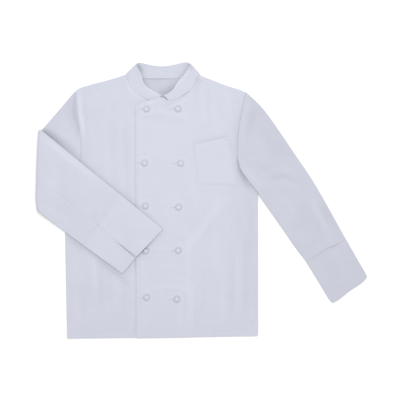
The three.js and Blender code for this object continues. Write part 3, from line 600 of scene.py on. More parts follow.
print("front_right", lift_over(["front_right"], ["back"]))
print("front_left", lift_over(["front_left"], ["back", "front_right", "collar"]))
print("pocket", lift_over(["pocket"], ["front_left"]))
sink_pocket_edges()
BODY = ["back", "front_right", "front_left", "pocket", "collar"]
print("sleeve_left", lift_over(["sleeve_left_under", "sleeve_left_top"], BODY))
print("sleeve_right", lift_over(["sleeve_right_under", "sleeve_right_top", "cuff_right"], BODY))

# %% [markdown]
# ## Press the cuff ends flat
# A cuff is a stiff tube, and an iron has nearly closed it at its end. So its upper wall comes down there,
# and the dark inside shows as a thin line only.

# %% Close the cuff ends
CUFF_ENDS = {
    "cuff_right": [(-129, 190), (-84, 240), (-2, 322)],
    "cuff_left": [(500, 111), (557, 134), (612, 178)],
}
CUFF_PRESS = 2.7
CUFF_PRESS_WIDTH = 45.0

for node, end in CUFF_ENDS.items():
    points = points_of(cloth[node])
    away = distance_to(end, points)
    press = CUFF_PRESS * np.exp(-((away / CUFF_PRESS_WIDTH) ** 2))
    points[:, 2] -= press * upper_share(cloth[node], points)
    move_points(cloth[node], points)
print("cuff ends pressed:", len(CUFF_ENDS))

# %% [markdown]
# ## A surface to sew on
# Thread, buttonholes and bartacks sit on the finished cloth. A search tree for each piece answers one
# question quickly: where does a needle that comes straight down meet this piece, and which way does the
# cloth face there?

# %% Find the cloth under a needle
NEEDLE_START = 80.0


def tree_of(piece):
    return BVHTree.FromPolygons(
        [Vector(point) for point in points_of(piece)],
        [tuple(face.vertices) for face in piece.data.polygons],
    )


trees = {node: tree_of(piece) for node, piece in cloth.items()}


def on_cloth(node, x, y):
    """The point and the normal where the piece is met from above, or None."""
    place, normal, _, _ = trees[node].ray_cast(Vector((x, y, NEEDLE_START)), Vector((0, 0, -1)))
    if place is None:
        return None
    return place, normal if normal.z > 0 else -normal


# %% [markdown]
# ## Small solids in one mesh
# A jacket has thousands of stitches. Each one is a short rounded bar, and all that belong to one piece go
# into one mesh. The same helper makes the thick bars of a buttonhole and of a bartack.

# %% A mesh that collects small solids
SHORTEST_BAR = 0.05
BAR_STATIONS = [(0.0, 0.35), (0.18, 0.9), (0.5, 1.0), (0.82, 0.9), (1.0, 0.35)]
BAR_SIDES = 6


class Heap:
    """Points and faces of many small solids, joined in one mesh at the end."""

    def __init__(self):
        self.points = []
        self.faces = []

    def add(self, points, faces):
        start = len(self.points)
        self.points.extend(points)
        self.faces.extend(tuple(start + corner for corner in face) for face in faces)

    def bar(self, start, end, up, wide, high):
        """A rounded bar from start to end."""
        along = end - start
        length = along.length
        if length < SHORTEST_BAR:
            return
        along = along / length
        side = along.cross(up).normalized()
        top = side.cross(along).normalized()
        ring = [(math.cos(math.tau * k / BAR_SIDES), math.sin(math.tau * k / BAR_SIDES)) for k in range(BAR_SIDES)]
        points = [
            start + along * (length * share) + side * (wide / 2 * size * a) + top * (high / 2 * size * b)
            for share, size in BAR_STATIONS for a, b in ring
        ]
        last = (len(BAR_STATIONS) - 1) * BAR_SIDES
        faces = []
        for low in range(0, last, BAR_SIDES):
            for i in range(BAR_SIDES):
                after = (i + 1) % BAR_SIDES
                faces.append((low + i, low + after, low + BAR_SIDES + after, low + BAR_SIDES + i))
        faces += [tuple(range(BAR_SIDES - 1, -1, -1)), tuple(range(last, last + BAR_SIDES))]
        self.add(points, faces)

    def ribbon(self, line, wide):
        """A narrow flat strip along a line of (point, normal)."""
        rows = []
        for k, (place, normal) in enumerate(line):
            ahead = line[min(k + 1, len(line) - 1)][0] - line[max(k - 1, 0)][0]
            side = ahead.cross(normal).normalized() * wide / 2
            rows.append((place - side, place, place + side))
        faces = [(k * 3 + i, k * 3 + i + 1, k * 3 + i + 4, k * 3 + i + 3)
                 for k in range(len(rows) - 1) for i in range(2)]
        self.add([point for row in rows for point in row], faces)

    def build(self, name):
        mesh = bpy.data.meshes.new(name)
        places = to_frame([tuple(point) for point in self.points])
        mesh.from_pydata([tuple(place) for place in places], [], self.faces)
        mesh.shade_smooth()
        piece = bpy.data.objects.new(name, mesh)
        bpy.context.collection.objects.link(piece)
        return piece


# %% [markdown]
# ## Rows of stitches
# A lockstitch row is a line of equal stitches with small gaps. Under it lies a narrow strip a little darker
# than the cloth: painted shade for the ditch that the thread pulls into the cloth, which is what shows from
# a step away. Every row below is named for the seam that it holds, and its corners follow the pattern.

# %% Sew one row
STITCH = 2.5
STITCH_GAP = 0.7
THREAD = 0.42
SHADE_STRIP = 1.0
SHADE_STRIP_LIFT = 0.05
THREAD_LIFT = 0.12
STEP = 1.6


def smooth_line(corners, count=12):
    """A smooth curve through the corners, or the straight line when there are two."""
    corners = np.asarray(corners, float)
    if len(corners) == 2:
        return corners
    padded = np.vstack([2 * corners[0] - corners[1], corners, 2 * corners[-1] - corners[-2]])
    points = []
    for a, b, c, d in zip(padded[:-3], padded[1:-2], padded[2:-1], padded[3:]):
        for t in np.linspace(0, 1, count, endpoint=False):
            points.append(0.5 * (2 * b + (c - a) * t + (2 * a - 5 * b + 4 * c - d) * t * t
                                 + (3 * b - a - 3 * c + d) * t ** 3))
    return np.array(points + [corners[-1]])


def spread_points(line, spacing):
    """Points at equal distances along a line in the plane."""
    lengths = np.concatenate([[0], np.cumsum(np.linalg.norm(np.diff(line, axis=0), axis=1))])
    places = np.arange(0, lengths[-1] + 1e-6, spacing)
    return np.stack([np.interp(places, lengths, line[:, axis]) for axis in (0, 1)], axis=1)


def sew(node, corners, thread, shade_strip, straight=False, wide=SHADE_STRIP):
    """Sews a row on one piece, and returns how many stitches it took."""
    line = np.asarray(corners, float) if straight else smooth_line(corners)
    # A strip darker than the cloth along the row: painted shade of the seam's ditch.
    shade_strip_line = []
    for x, y in spread_points(line, STEP):
        hit = on_cloth(node, x, y)
        if hit is None:
            continue
        place, normal = hit
        broken = shade_strip_line and (place - shade_strip_line[-1][0]).length > 3 * STEP
        if broken:
            if len(shade_strip_line) > 1:
                shade_strip.ribbon(shade_strip_line, wide)
            shade_strip_line = []
        shade_strip_line.append((place + normal * SHADE_STRIP_LIFT, normal))
    if len(shade_strip_line) > 1:
        shade_strip.ribbon(shade_strip_line, wide)
    count = 0
    ends = spread_points(line, (STITCH + STITCH_GAP) / 2)
    for (x, y), (next_x, next_y) in zip(ends[0:-1:2], ends[1::2]):
        share = STITCH / ((STITCH + STITCH_GAP) / 2)
        first = on_cloth(node, x, y)
        second = on_cloth(node, x + (next_x - x) * share, y + (next_y - y) * share)
        if first is None or second is None or (first[0] - second[0]).length > 2 * STITCH:
            continue
        lift = first[1] * THREAD_LIFT
        thread.bar(first[0] + lift, second[0] + lift, first[1], THREAD, THREAD * 0.8)
        count += 1
    return count


# %% The rows of every seam
ROWS = [
    ("front_left", "placket_edge", [(-72, 690), (-71.5, 350), (-60.5, 0)], True),
    ("front_left", "lap_top", [(-74, 687.5), (-52, 695), (-27, 706.5), (-4, 711)], False),
    ("front_left", "hem", [(-64, 15), (110, 18), (283, 20.5)], False),
    ("front_left", "shoulder", [(108, 768), (143, 755), (182, 741), (226, 727), (244, 721)], False),
    ("front_left", "neck", [(24, 694), (47, 702), (71, 716), (94, 735), (103, 754), (112, 774)], False),
    ("front_left", "armhole", [(244, 722), (229, 650), (222, 600), (219, 530), (226, 500)], False),
    ("front_right", "hem", [(-283, 13), (-170, 14), (-82, 15)], False),
    ("front_right", "shoulder", [(-106, 770), (-152, 756), (-211, 741), (-246, 731)], False),
    ("front_right", "neck", [(-72, 714), (-94, 735), (-103, 754), (-110, 774)], False),
    ("front_right", "armhole", [(-255, 726), (-250, 660), (-239, 590), (-242, 525), (-256, 478)], False),
    ("pocket", "side_inner", [(94, 572), (110.5, 456)], True),
    ("pocket", "base", [(110.5, 456), (219, 458.7)], True),
    ("pocket", "side_outer", [(219, 458.7), (197.5, 595)], True),
    ("pocket", "mouth_hem", [(96.5, 549), (150, 559), (202, 571)], False),
    ("pocket", "mouth_edge", [(93, 571.5), (147, 583), (198, 595)], False),
    ("collar", "edge_right", [(8, 716), (24, 728), (38, 741), (50, 756), (62, 776), (74, 792)], False),
    ("collar", "edge_left", [(-6, 716), (-18, 722), (-36, 734), (-52, 746), (-64, 762), (-72, 788)], False),
    ("collar", "seam_right", [(27, 706), (44, 714), (65, 728), (86, 745), (95, 760), (104, 778)], False),
    ("collar", "seam_left", [(-64, 727), (-85, 744), (-94, 760), (-102, 776)], False),
    ("collar", "back_edge", [(-58, 812), (-30, 806.5), (0, 803.5), (30, 806.5), (62, 814)], False),
    ("collar", "back_seam", [(-58, 780), (-30, 777), (0, 777), (30, 777), (60, 780)], False),
    ("collar", "back_middle", [(8, 792), (30, 793), (52, 797)], False),
    ("back", "neck_tape", [(-58, 766), (0, 765), (56, 766)], False),
    ("back", "neck_facing", [(-50, 752), (-20, 742), (0, 738), (24, 742), (40, 752)], False),
    ("sleeve_left_top", "armhole", [(256, 722), (241, 652), (234, 602), (232, 535), (237, 508)], False),
    ("sleeve_left_top", "cuff_seam", [(427, 228), (462, 255), (503, 277), (545, 294)], False),
    ("cuff_left", "cuff_seam", [(437, 218), (472, 244), (511, 266), (551, 282)], False),
    ("cuff_left", "cuff_end", [(494, 124), (508, 118), (552, 148), (598, 179), (606, 188)], False),
    ("sleeve_right_top", "back_seam",
     [(-372, 457), (-331, 439), (-285, 407), (-254, 377), (-198, 338)], False),
    ("sleeve_right_top", "cuff_seam", [(-198, 336), (-166, 385), (-134, 428)], False),
    ("sleeve_right_under", "cuff_seam", [(-239, 277), (-220, 304), (-200, 331)], False),
    ("cuff_right", "cuff_seam_high", [(-187, 333), (-160, 374), (-125, 420)], False),
    ("cuff_right", "cuff_seam_low", [(-231, 268), (-211, 296), (-194, 322)], False),
    ("cuff_right", "cuff_end_high", [(-76, 251), (-36, 298), (-8, 318)], False),
    ("cuff_right", "cuff_end_low", [(-129, 197), (-112, 214), (-91, 240)], False),
    ("cuff_right", "vent_high", [(-184, 333), (-134, 288), (-79, 246)], False),
    ("cuff_right", "vent_low", [(-189, 324), (-139, 274), (-90, 235)], False),
]
thread_heaps = {}
shade_strip_heaps = {}
sewn = 0
for node, row_name, corners, straight in ROWS:
    thread = thread_heaps.setdefault(node, Heap())
    shade_strip = shade_strip_heaps.setdefault(node, Heap())
    count = sew(node, corners, thread, shade_strip, straight)
    sewn += count
    if count == 0:
        print("row missed the cloth:", node, row_name)
print("stitches:", sewn)

# %% [markdown]
# ## Buttonholes and bartacks
# A buttonhole is two purled edges, close bars of thread across the cut, with a wider bar at each end. The
# stud stands at its inner end, so the rest of the hole shows as a line towards the free edge: the cut is a
# strip darker than the cloth, painted shade. The pocket's mouth is held at both ends by a bartack of the
# same bars.

# %% Buttonholes
HOLE_LENGTH = 19.0
HOLE_START = 4.5
PURL_SPACING = 0.75
PURL_WIDTH = 1.25
PURL_SIZE = 0.55
PURL_LIFT = 0.1
SLIT_WIDTH = 0.9
SLIT_LIFT = 0.07
END_BAR_HALF = 2.1      # half the length of the bar at each end of a buttonhole
END_BAR_WIDTH = 1.6
TACK_WIDTH = 2.4
TACK_SIZE = 0.6


def purl(heap, node, start, end, width, size=PURL_SIZE):
    """Close bars of thread across a line."""
    start, end = np.array(start, float), np.array(end, float)
    length = np.linalg.norm(end - start)
    along = (end - start) / length
    across = np.array([-along[1], along[0]]) * width / 2
    for x, y in spread_points(np.array([start, end]), PURL_SPACING):
        ends = [on_cloth(node, x + side * across[0], y + side * across[1]) for side in (-1, 1)]
        if None in ends:
            continue
        first, second = (place + normal * PURL_LIFT for place, normal in ends)
        heap.bar(first, second, ends[0][1], size, size)


def make_buttonhole(x, y):
    node = "front_left"
    heap = thread_heaps[node]
    low, high = x - HOLE_START - HOLE_LENGTH, x - HOLE_START
    for side in (-1, 1):
        height = y + side * (SLIT_WIDTH + PURL_WIDTH) / 2
        purl(heap, node, (low, height), (high, height), PURL_WIDTH)
    for end in (low, high):
        purl(heap, node, (end, y - END_BAR_HALF), (end, y + END_BAR_HALF), END_BAR_WIDTH)
    # The open cut is drawn as a darker strip: painted shade.
    slit = [on_cloth(node, place, y) for place in np.arange(low, high, STEP)]
    slit_shade_heap.ribbon([(place + normal * SLIT_LIFT, normal) for place, normal in slit], SLIT_WIDTH)


slit_shade_heap = Heap()
for x, y in BUTTONS.values():
    make_buttonhole(x, y)

BARTACKS = [("pocket", (94, 566), (103, 568.5)), ("pocket", (188, 588.5), (197, 590.5))]
for node, start, end in BARTACKS:
    purl(thread_heaps[node], node, start, end, TACK_WIDTH, TACK_SIZE)

# %% Build the meshes of thread, painted seam shade and buttonhole slit shade
thread_pieces = {node: heap.build(node + "_thread") for node, heap in thread_heaps.items()}
shade_strip_pieces = {node: heap.build(node + "_shade_strips") for node, heap in shade_strip_heaps.items()}
slit_shade = slit_shade_heap.build("buttonhole_slit_shade")
print("thread faces:", {node: len(piece.data.polygons) for node, piece in thread_pieces.items()})

# %% [markdown]
# ## Domed buttons
# A chef's stud button is turned or moulded: a low dome, a shallow groove inside its rim, and a foot that
# goes through the buttonhole. A lathe profile turned round its axis is the natural way to make it.

# %% Turn the buttons
BUTTON_PROFILE = [
    (0.0, 5.10), (1.6, 5.02), (3.2, 4.72), (4.6, 4.12), (5.5, 3.45), (6.05, 2.85), (6.3, 2.62), (6.6, 2.66),
    (7.0, 2.62), (7.35, 2.3), (7.45, 1.85), (7.3, 1.45), (6.7, 1.2), (5.9, 1.05), (5.4, 0.7), (5.2, 0.0),
    (0.0, 0.0),
]
BUTTON_SIDES = 48
BUTTON_SINK = 0.2


def turn_button(name):
    low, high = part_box(name)
    x, y, floor = to_tailor([((low[0] + high[0]) / 2, (low[1] + high[1]) / 2, low[2])])[0]
    hit = on_cloth("front_left", x, y)
    floor = max(floor - BUTTON_SINK, hit[0].z)
    rings = [(radius, height) for radius, height in BUTTON_PROFILE if radius > 0]
    points = [(x, y, floor + BUTTON_PROFILE[0][1])]
    for radius, height in rings:
        for k in range(BUTTON_SIDES):
            turn = math.tau * k / BUTTON_SIDES
            points.append((x + radius * math.cos(turn), y + radius * math.sin(turn), floor + height))
    points.append((x, y, floor))
    faces = [(0, 1 + k, 1 + (k + 1) % BUTTON_SIDES) for k in range(BUTTON_SIDES)]
    for ring in range(len(rings) - 1):
        first = 1 + ring * BUTTON_SIDES
        for k in range(BUTTON_SIDES):
            after = (k + 1) % BUTTON_SIDES
            faces.append((first + k, first + BUTTON_SIDES + k, first + BUTTON_SIDES + after, first + after))
    last = 1 + (len(rings) - 1) * BUTTON_SIDES
    faces += [(len(points) - 1, last + (k + 1) % BUTTON_SIDES, last + k) for k in range(BUTTON_SIDES)]
    heap = Heap()
    heap.add([Vector(point) for point in points], faces)
    return heap.build(name + "_stud")


studs = {name: turn_button(name) for name in BUTTONS}
print("buttons:", len(studs))

# %% [markdown]
# ## Finishes
# Twill is woven with a diagonal rib, so a shared node group draws fine slanted lines, with a cross thread
# and a little slub, as a height for bump. A second group gives the colour: random clouds and flecks vary
# the bleached cotton, and it is a little darker in the rib's low parts. On top come painted shade in crease
# troughs and beside higher layers, and a painted highlight on ridges and where the cloth faces the light.
# Both are used by every cloth material with its own grain direction and depth.

# %% Weave group
def new_group(name, inputs, outputs):
    group = bpy.data.node_groups.new(name, "ShaderNodeTree")
    for socket, kind, value in inputs:
        made = group.interface.new_socket(socket, in_out="INPUT", socket_type=kind)
        made.default_value = value
    for socket, kind in outputs:
        group.interface.new_socket(socket, in_out="OUTPUT", socket_type=kind)
    return group, group.nodes.new("NodeGroupInput"), group.nodes.new("NodeGroupOutput")


def maths(tree, operation, first, second):
    """A Math node. Each of its two inputs is a socket or a number."""
    node = tree.nodes.new("ShaderNodeMath")
    node.operation = operation
    for socket, value in zip(node.inputs, (first, second)):
        if isinstance(value, (int, float)):
            socket.default_value = value
        else:
            tree.links.new(value, socket)
    return node.outputs[0]


def texture(tree, kind, vector, **values):
    node = tree.nodes.new(kind)
    tree.links.new(vector, node.inputs["Vector"])
    for name, value in values.items():
        node.inputs[name.replace("_", " ")].default_value = value
    return node


weave, weave_in, weave_out = new_group(
    "twill_weave",
    [("Grain", "NodeSocketFloat", 0.0), ("Ribs per metre", "NodeSocketFloat", 1100.0),
     ("Slub", "NodeSocketFloat", 0.3)],
    [("Height", "NodeSocketFloat"), ("Rib", "NodeSocketFloat")],
)
place = weave.nodes.new("ShaderNodeTexCoord")
turned = weave.nodes.new("ShaderNodeVectorRotate")
turned.rotation_type = "Z_AXIS"
weave.links.new(place.outputs["Object"], turned.inputs["Vector"])
weave.links.new(weave_in.outputs["Grain"], turned.inputs["Angle"])
parts = weave.nodes.new("ShaderNodeSeparateXYZ")
weave.links.new(turned.outputs["Vector"], parts.inputs["Vector"])
slanted = maths(weave, "ADD", parts.outputs["X"], maths(weave, "MULTIPLY", parts.outputs["Y"], 0.6))
ribs = weave_in.outputs["Ribs per metre"]
phase = maths(weave, "MULTIPLY", maths(weave, "MULTIPLY", slanted, ribs), math.tau)
rib = maths(weave, "MULTIPLY", maths(weave, "ADD", maths(weave, "SINE", phase, 0), 1), 0.5)
cross_phase = maths(weave, "MULTIPLY", maths(weave, "MULTIPLY", parts.outputs["Y"], ribs), math.tau * 1.4)
cross = maths(weave, "MULTIPLY", maths(weave, "SINE", cross_phase, 0), 0.2)
slub = texture(weave, "ShaderNodeTexNoise", turned.outputs["Vector"], Scale=420.0, Detail=3.0)
lumps = maths(weave, "MULTIPLY", slub.outputs["Fac"], weave_in.outputs["Slub"])
weave.links.new(maths(weave, "ADD", maths(weave, "ADD", rib, cross), lumps), weave_out.inputs["Height"])
weave.links.new(rib, weave_out.inputs["Rib"])
print("weave group:", len(weave.nodes), "nodes")

# %% Tone group
tone, tone_in, tone_out = new_group(
    "bleached_tone_and_painted_shade",
    [("Light", "NodeSocketColor", (0.62, 0.64, 0.72, 1)), ("Shade", "NodeSocketColor", (0.5, 0.52, 0.6, 1)),
     ("Painted highlight", "NodeSocketColor", (0.7, 0.72, 0.78, 1)), ("Deep shade", "NodeSocketColor", (0.3, 0.32, 0.36, 1)),
     ("Crease depth", "NodeSocketFloat", 1.0), ("Rib", "NodeSocketFloat", 0.5)],
    [("Color", "NodeSocketColor"), ("Sunk", "NodeSocketFloat")],
)


def mix_colours(tree, share, first, second):
    node = tree.nodes.new("ShaderNodeMix")
    node.data_type = "RGBA"
    for value, name in ((share, "Factor"), (first, "A"), (second, "B")):
        socket = node.inputs[name]
        if hasattr(value, "links"):
            tree.links.new(value, socket)
        else:
            socket.default_value = value
    return node.outputs["Result"]


place = tone.nodes.new("ShaderNodeTexCoord")
sunk = tone.nodes.new("ShaderNodeAttribute")
sunk.attribute_name = "crease"
clouds = texture(tone, "ShaderNodeTexNoise", place.outputs["Object"], Scale=9.0, Detail=4.0)
flecks = texture(tone, "ShaderNodeTexNoise", place.outputs["Object"], Scale=160.0, Detail=2.0)
# The crease value paints shade into troughs and a highlight onto ridges.
depth = maths(tone, "MULTIPLY", sunk.outputs["Fac"], tone_in.outputs["Crease depth"])
low_share = maths(tone, "MAXIMUM", maths(tone, "MULTIPLY", depth, -1.0), 0.0)
high_share = maths(tone, "MINIMUM", maths(tone, "MAXIMUM", depth, 0.0), 1.0)
cloud_share = maths(tone, "MULTIPLY", maths(tone, "SUBTRACT", clouds.outputs["Fac"], 0.4), 0.5)
fleck_share = maths(tone, "MULTIPLY", maths(tone, "SUBTRACT", flecks.outputs["Fac"], 0.5), 0.25)
rib_share = maths(tone, "MULTIPLY", maths(tone, "SUBTRACT", 1.0, tone_in.outputs["Rib"]), 0.12)
mottling = maths(tone, "ADD", cloud_share, fleck_share)
shade_share = maths(tone, "ADD", maths(tone, "ADD", low_share, rib_share), mottling)
shade_share = maths(tone, "MINIMUM", maths(tone, "MAXIMUM", shade_share, 0.0), 1.0)
shaded = mix_colours(tone, shade_share, tone_in.outputs["Light"], tone_in.outputs["Shade"])
ridges_highlighted = mix_colours(tone, high_share, shaded, tone_in.outputs["Painted highlight"])
# A second value paints shade beside higher layers, on side walls and round the buttons, and paints a highlight
# where it is below zero.
painted_shade_and_highlight = tone.nodes.new("ShaderNodeAttribute")
painted_shade_and_highlight.attribute_name = "painted_shade_and_highlight"
lit_share = maths(tone, "MAXIMUM", maths(tone, "MULTIPLY", painted_shade_and_highlight.outputs["Fac"], -1.0), 0.0)
deep_shade_share = maths(tone, "MAXIMUM", painted_shade_and_highlight.outputs["Fac"], 0.0)
lit = mix_colours(tone, lit_share, ridges_highlighted, tone_in.outputs["Painted highlight"])
deep_shaded = mix_colours(tone, deep_shade_share, lit, tone_in.outputs["Deep shade"])
tone.links.new(deep_shaded, tone_out.inputs["Color"])
tone.links.new(deep_shade_share, tone_out.inputs["Sunk"])
print("tone group:", len(tone.nodes), "nodes")

# %% Cloth materials
LIGHT = (0.560, 0.574, 0.655)
# This colour is painted shade for crease troughs, and the next a painted highlight for ridges and for places that
# face the light.
SHADE = (0.487, 0.500, 0.580)
PAINTED_HIGHLIGHT = (0.633, 0.645, 0.715)
# Painted shade beside higher layers, on side walls and round the buttons.
DEEP_SHADE = (0.300, 0.310, 0.365)
GRAINS = {
    "back": 0, "front_right": 0, "front_left": 0, "pocket": 4, "collar": 0,
    "sleeve_left_under": 32, "sleeve_left_top": 32, "cuff_left": 32,
    "sleeve_right_under": -56, "sleeve_right_top": -56, "cuff_right": -56,
}
# Painted light: each piece's cloth colour is scaled down where that piece gets less light, so the pieces are lit
# and shaded copies of one twill.
PAINTED_LIGHT = {
    "back": 0.90, "front_right": 0.99, "front_left": 1.0, "pocket": 1.0, "collar": 1.0,
    "sleeve_left_top": 0.925, "sleeve_left_under": 0.925, "cuff_left": 0.935,
    "sleeve_right_top": 0.985, "sleeve_right_under": 0.985, "cuff_right": 1.0,
}


def scaled(colour, share):
    return (*(channel * share for channel in colour), 1.0)


def new_material(name):
    material = bpy.data.materials.new(name)
    material.use_nodes = True
    return material, material.node_tree, material.node_tree.nodes["Principled BSDF"]


def make_twill(node, grain, painted_light):
    material, tree, shader = new_material(node + "_twill")
    ribs = tree.nodes.new("ShaderNodeGroup")
    ribs.node_tree = weave
    ribs.inputs["Grain"].default_value = math.radians(grain)
    colour = tree.nodes.new("ShaderNodeGroup")
    colour.node_tree = tone
    for socket, value in (("Light", LIGHT), ("Shade", SHADE), ("Painted highlight", PAINTED_HIGHLIGHT), ("Deep shade", DEEP_SHADE)):
        colour.inputs[socket].default_value = scaled(value, painted_light)
    bump = tree.nodes.new("ShaderNodeBump")
    bump.inputs["Strength"].default_value = 0.35
    bump.inputs["Distance"].default_value = 0.0002
    tree.links.new(ribs.outputs["Rib"], colour.inputs["Rib"])
    tree.links.new(ribs.outputs["Height"], bump.inputs["Height"])
    tree.links.new(colour.outputs["Color"], shader.inputs["Base Color"])
    tree.links.new(bump.outputs["Normal"], shader.inputs["Normal"])
    shader.inputs["Roughness"].default_value = 0.88
    shader.inputs["Specular IOR Level"].default_value = 0.25
    shader.inputs["Sheen Weight"].default_value = 0.12
    shader.inputs["Sheen Roughness"].default_value = 0.5
    return material


def make_thread(name, colour, roughness, strength):
    """Thread, with fine plies as bump. It also colours the darker strips of painted shade along seams and in
    buttonhole cuts.
    """
    material, tree, shader = new_material(name)
    place = tree.nodes.new("ShaderNodeTexCoord")
    plies = texture(tree, "ShaderNodeTexNoise", place.outputs["Object"], Scale=1400.0, Detail=2.0)
    ramp = tree.nodes.new("ShaderNodeValToRGB")
    ramp.color_ramp.elements[0].color = scaled(colour, 0.93)
    ramp.color_ramp.elements[1].color = scaled(colour, 1.05)
    bump = tree.nodes.new("ShaderNodeBump")
    bump.inputs["Strength"].default_value = strength
    bump.inputs["Distance"].default_value = 0.0001
    tree.links.new(plies.outputs["Fac"], ramp.inputs["Fac"])
    tree.links.new(ramp.outputs["Color"], shader.inputs["Base Color"])
    tree.links.new(plies.outputs["Fac"], bump.inputs["Height"])
    tree.links.new(bump.outputs["Normal"], shader.inputs["Normal"])
    shader.inputs["Roughness"].default_value = roughness
    return material


def make_button_plastic():
    material, tree, shader = new_material("button_plastic")
    place = tree.nodes.new("ShaderNodeTexCoord")
    swirl = texture(tree, "ShaderNodeTexNoise", place.outputs["Object"], Scale=240.0, Detail=2.0)
    ramp = tree.nodes.new("ShaderNodeValToRGB")
    ramp.color_ramp.elements[0].color = (0.495, 0.51, 0.575, 1)
    ramp.color_ramp.elements[1].color = (0.56, 0.575, 0.635, 1)
    tree.links.new(swirl.outputs["Fac"], ramp.inputs["Fac"])
    tree.links.new(ramp.outputs["Color"], shader.inputs["Base Color"])
    gloss = tree.nodes.new("ShaderNodeMapRange")
    gloss.inputs["To Min"].default_value = 0.22
    gloss.inputs["To Max"].default_value = 0.36
    tree.links.new(swirl.outputs["Fac"], gloss.inputs["Value"])
    tree.links.new(gloss.outputs["Result"], shader.inputs["Roughness"])
    shader.inputs["Coat Weight"].default_value = 0.3
    shader.inputs["Coat Roughness"].default_value = 0.15
    return material


twills = {node: make_twill(node, GRAINS[node], PAINTED_LIGHT[node]) for node in CLOTH_NODES}
white_thread = make_thread("white_thread", (0.60, 0.615, 0.69), 0.6, 0.4)
# Darker than the cloth: painted shade for the seams.
shade_strip_cloth = make_thread("pressed_shade_strip", (0.530, 0.548, 0.628), 0.95, 0.2)
# Darker still: painted shade in the buttonhole cuts.
slit_shade_cloth = make_thread("buttonhole_cut_shade", (0.485, 0.497, 0.570), 0.95, 0.2)
button_plastic = make_button_plastic()
print("materials:", len(bpy.data.materials))

# %% [markdown]
# ## Store the creases on the mesh
# The tone group reads one number for each point: how far the cloth sinks below its surroundings, or rises
# above them. It is the change that the creases made, so painted shade falls in real troughs and a painted
# highlight on real ridges.

# %% Crease values on the meshes
FULL_SHADE = 5.0


def store(piece, name, values):
    layer = piece.data.attributes.new(name, "FLOAT", "POINT")
    layer.data.foreach_set("value", values.clip(-1, 1).astype(np.float32))


for node, piece in cloth.items():
    store(piece, "crease", shading[node] / FULL_SHADE)
    piece.data.materials.append(twills[node])

# %% [markdown]
# ## Painted shade where layers meet
# Cloth that lies beside a higher layer gets less light, and painted shade makes it greyer there. Blurring
# the height map of the whole jacket gives the height of each place's surroundings, and the painted shade
# grows with how far a point lies below them. Side walls and a ring round each button get painted shade as
# well. A short table adds painted shade where the jacket is deepest, such as the neck and the crook under
# the arm, and a painted highlight, with a number below zero, where it stands up to the light.

# %% Painted shade beside higher layers
SPREAD = 24             # rounds of blurring, which spread each height over about 12 mm
FULL_DEPTH = 16.0
EDGE_SHADE = 0.08
UPPER_ARM_HIGH = 9.5    # the folded sleeve's upper arm lies below this height, and its forearm above
# A ring of painted shade round each button.
BUTTON_RING_SHADE = (8.3, 3.2, 0.12)
# Rows of painted shade, and of painted highlight where the number is below zero.
PAINTED_SHADE_ROWS = {
    "front_left": [
        (225, 534, 234, 490, 258, 446, 8, 0.42, 0),
        (225, 680, 250, 500, 262, 60, 55, 0.10, 0),
        (-74, 686, -40, 698, -8, 709, 4, -0.50, 0),
        (30, 692, 72, 712, 104, 752, 4, -0.30, 0),
        (94, 572, 102, 510, 110, 456, 4, -0.30, 0),
        (110, 456, 165, 457, 219, 459, 4, -0.20, 0),
        (-20, 300, -45, 276, -72, 246, 8, 0.12, 0),
        (102, 776, 108, 760, 100, 746, 6, 0.12, 0),
    ],
    "front_right": [
        (-251, 736, -249, 690, -238, 601, 6, -0.40, 0),
        (-190, 226, -150, 196, -102, 156, 9, 0.22, 0),
        (-288, 298, -266, 280, -236, 258, 7, 0.12, 0),
        (-82, 230, -81, 215, -80, 196, 5, 0.25, 0),
        (-68, 712, -96, 738, -112, 776, 5, -0.60, 0),
        (-78, 692, -44, 704, -12, 714, 4, -0.50, 0),
    ],
    "upper_arm": [
        (-260, 742, -265, 680, -248, 596, 7, 0.30, 0),
        (-276, 732, -280, 680, -262, 600, 12, 0.16, 0),
        (-366, 626, -300, 580, -250, 534, 14, 0.26, 0),
        (-300, 720, -310, 670, -330, 620, 45, 0.08, 0),
    ],
    "sleeve_left_top": [
        (275, 700, 315, 620, 370, 500, 45, 0.09, 0),
    ],
    "forearm": [
        (-364, 598, -290, 540, -200, 472, 9, -0.35, 0),
    ],
    "back": [
        (-14, 732, 8, 732, 36, 752, 10, 0.34, 0),
        (-60, 772, -12, 770, 36, 773, 3, 0.35, 0),
        (-52, 758, -36, 740, -14, 724, 9, -0.50, 0),
        (80, 800, 62, 775, 44, 757, 9, -0.50, 0),
    ],
    "collar": [
        (-76, 816, -70, 806, -63, 792, 8, 0.42, 0),
        (70, 817, 84, 810, 89, 792, 6, 0.24, 0),
        (-62, 780, -46, 746, -10, 720, 6, -0.70, 0),
        (78, 796, 58, 768, 26, 728, 6, -0.50, 0),
        (-66, 722, -90, 742, -104, 776, 5, -0.60, 0),
        (30, 702, 70, 724, 100, 766, 5, -0.30, 0),
    ],
}
roof = height_map([piece for node, piece in cloth.items() if node != "collar"])
around = blur(roof, SPREAD)


def painted_shade_rows(node, points):
    """The table's share of the painted shade and highlight."""
    if node != "sleeve_right_top":
        return lines_at(points, PAINTED_SHADE_ROWS.get(node, []))
    upper_arm = lines_at(points, PAINTED_SHADE_ROWS["upper_arm"])
    return np.where(points[:, 2] < UPPER_ARM_HIGH, upper_arm, lines_at(points, PAINTED_SHADE_ROWS["forearm"]))


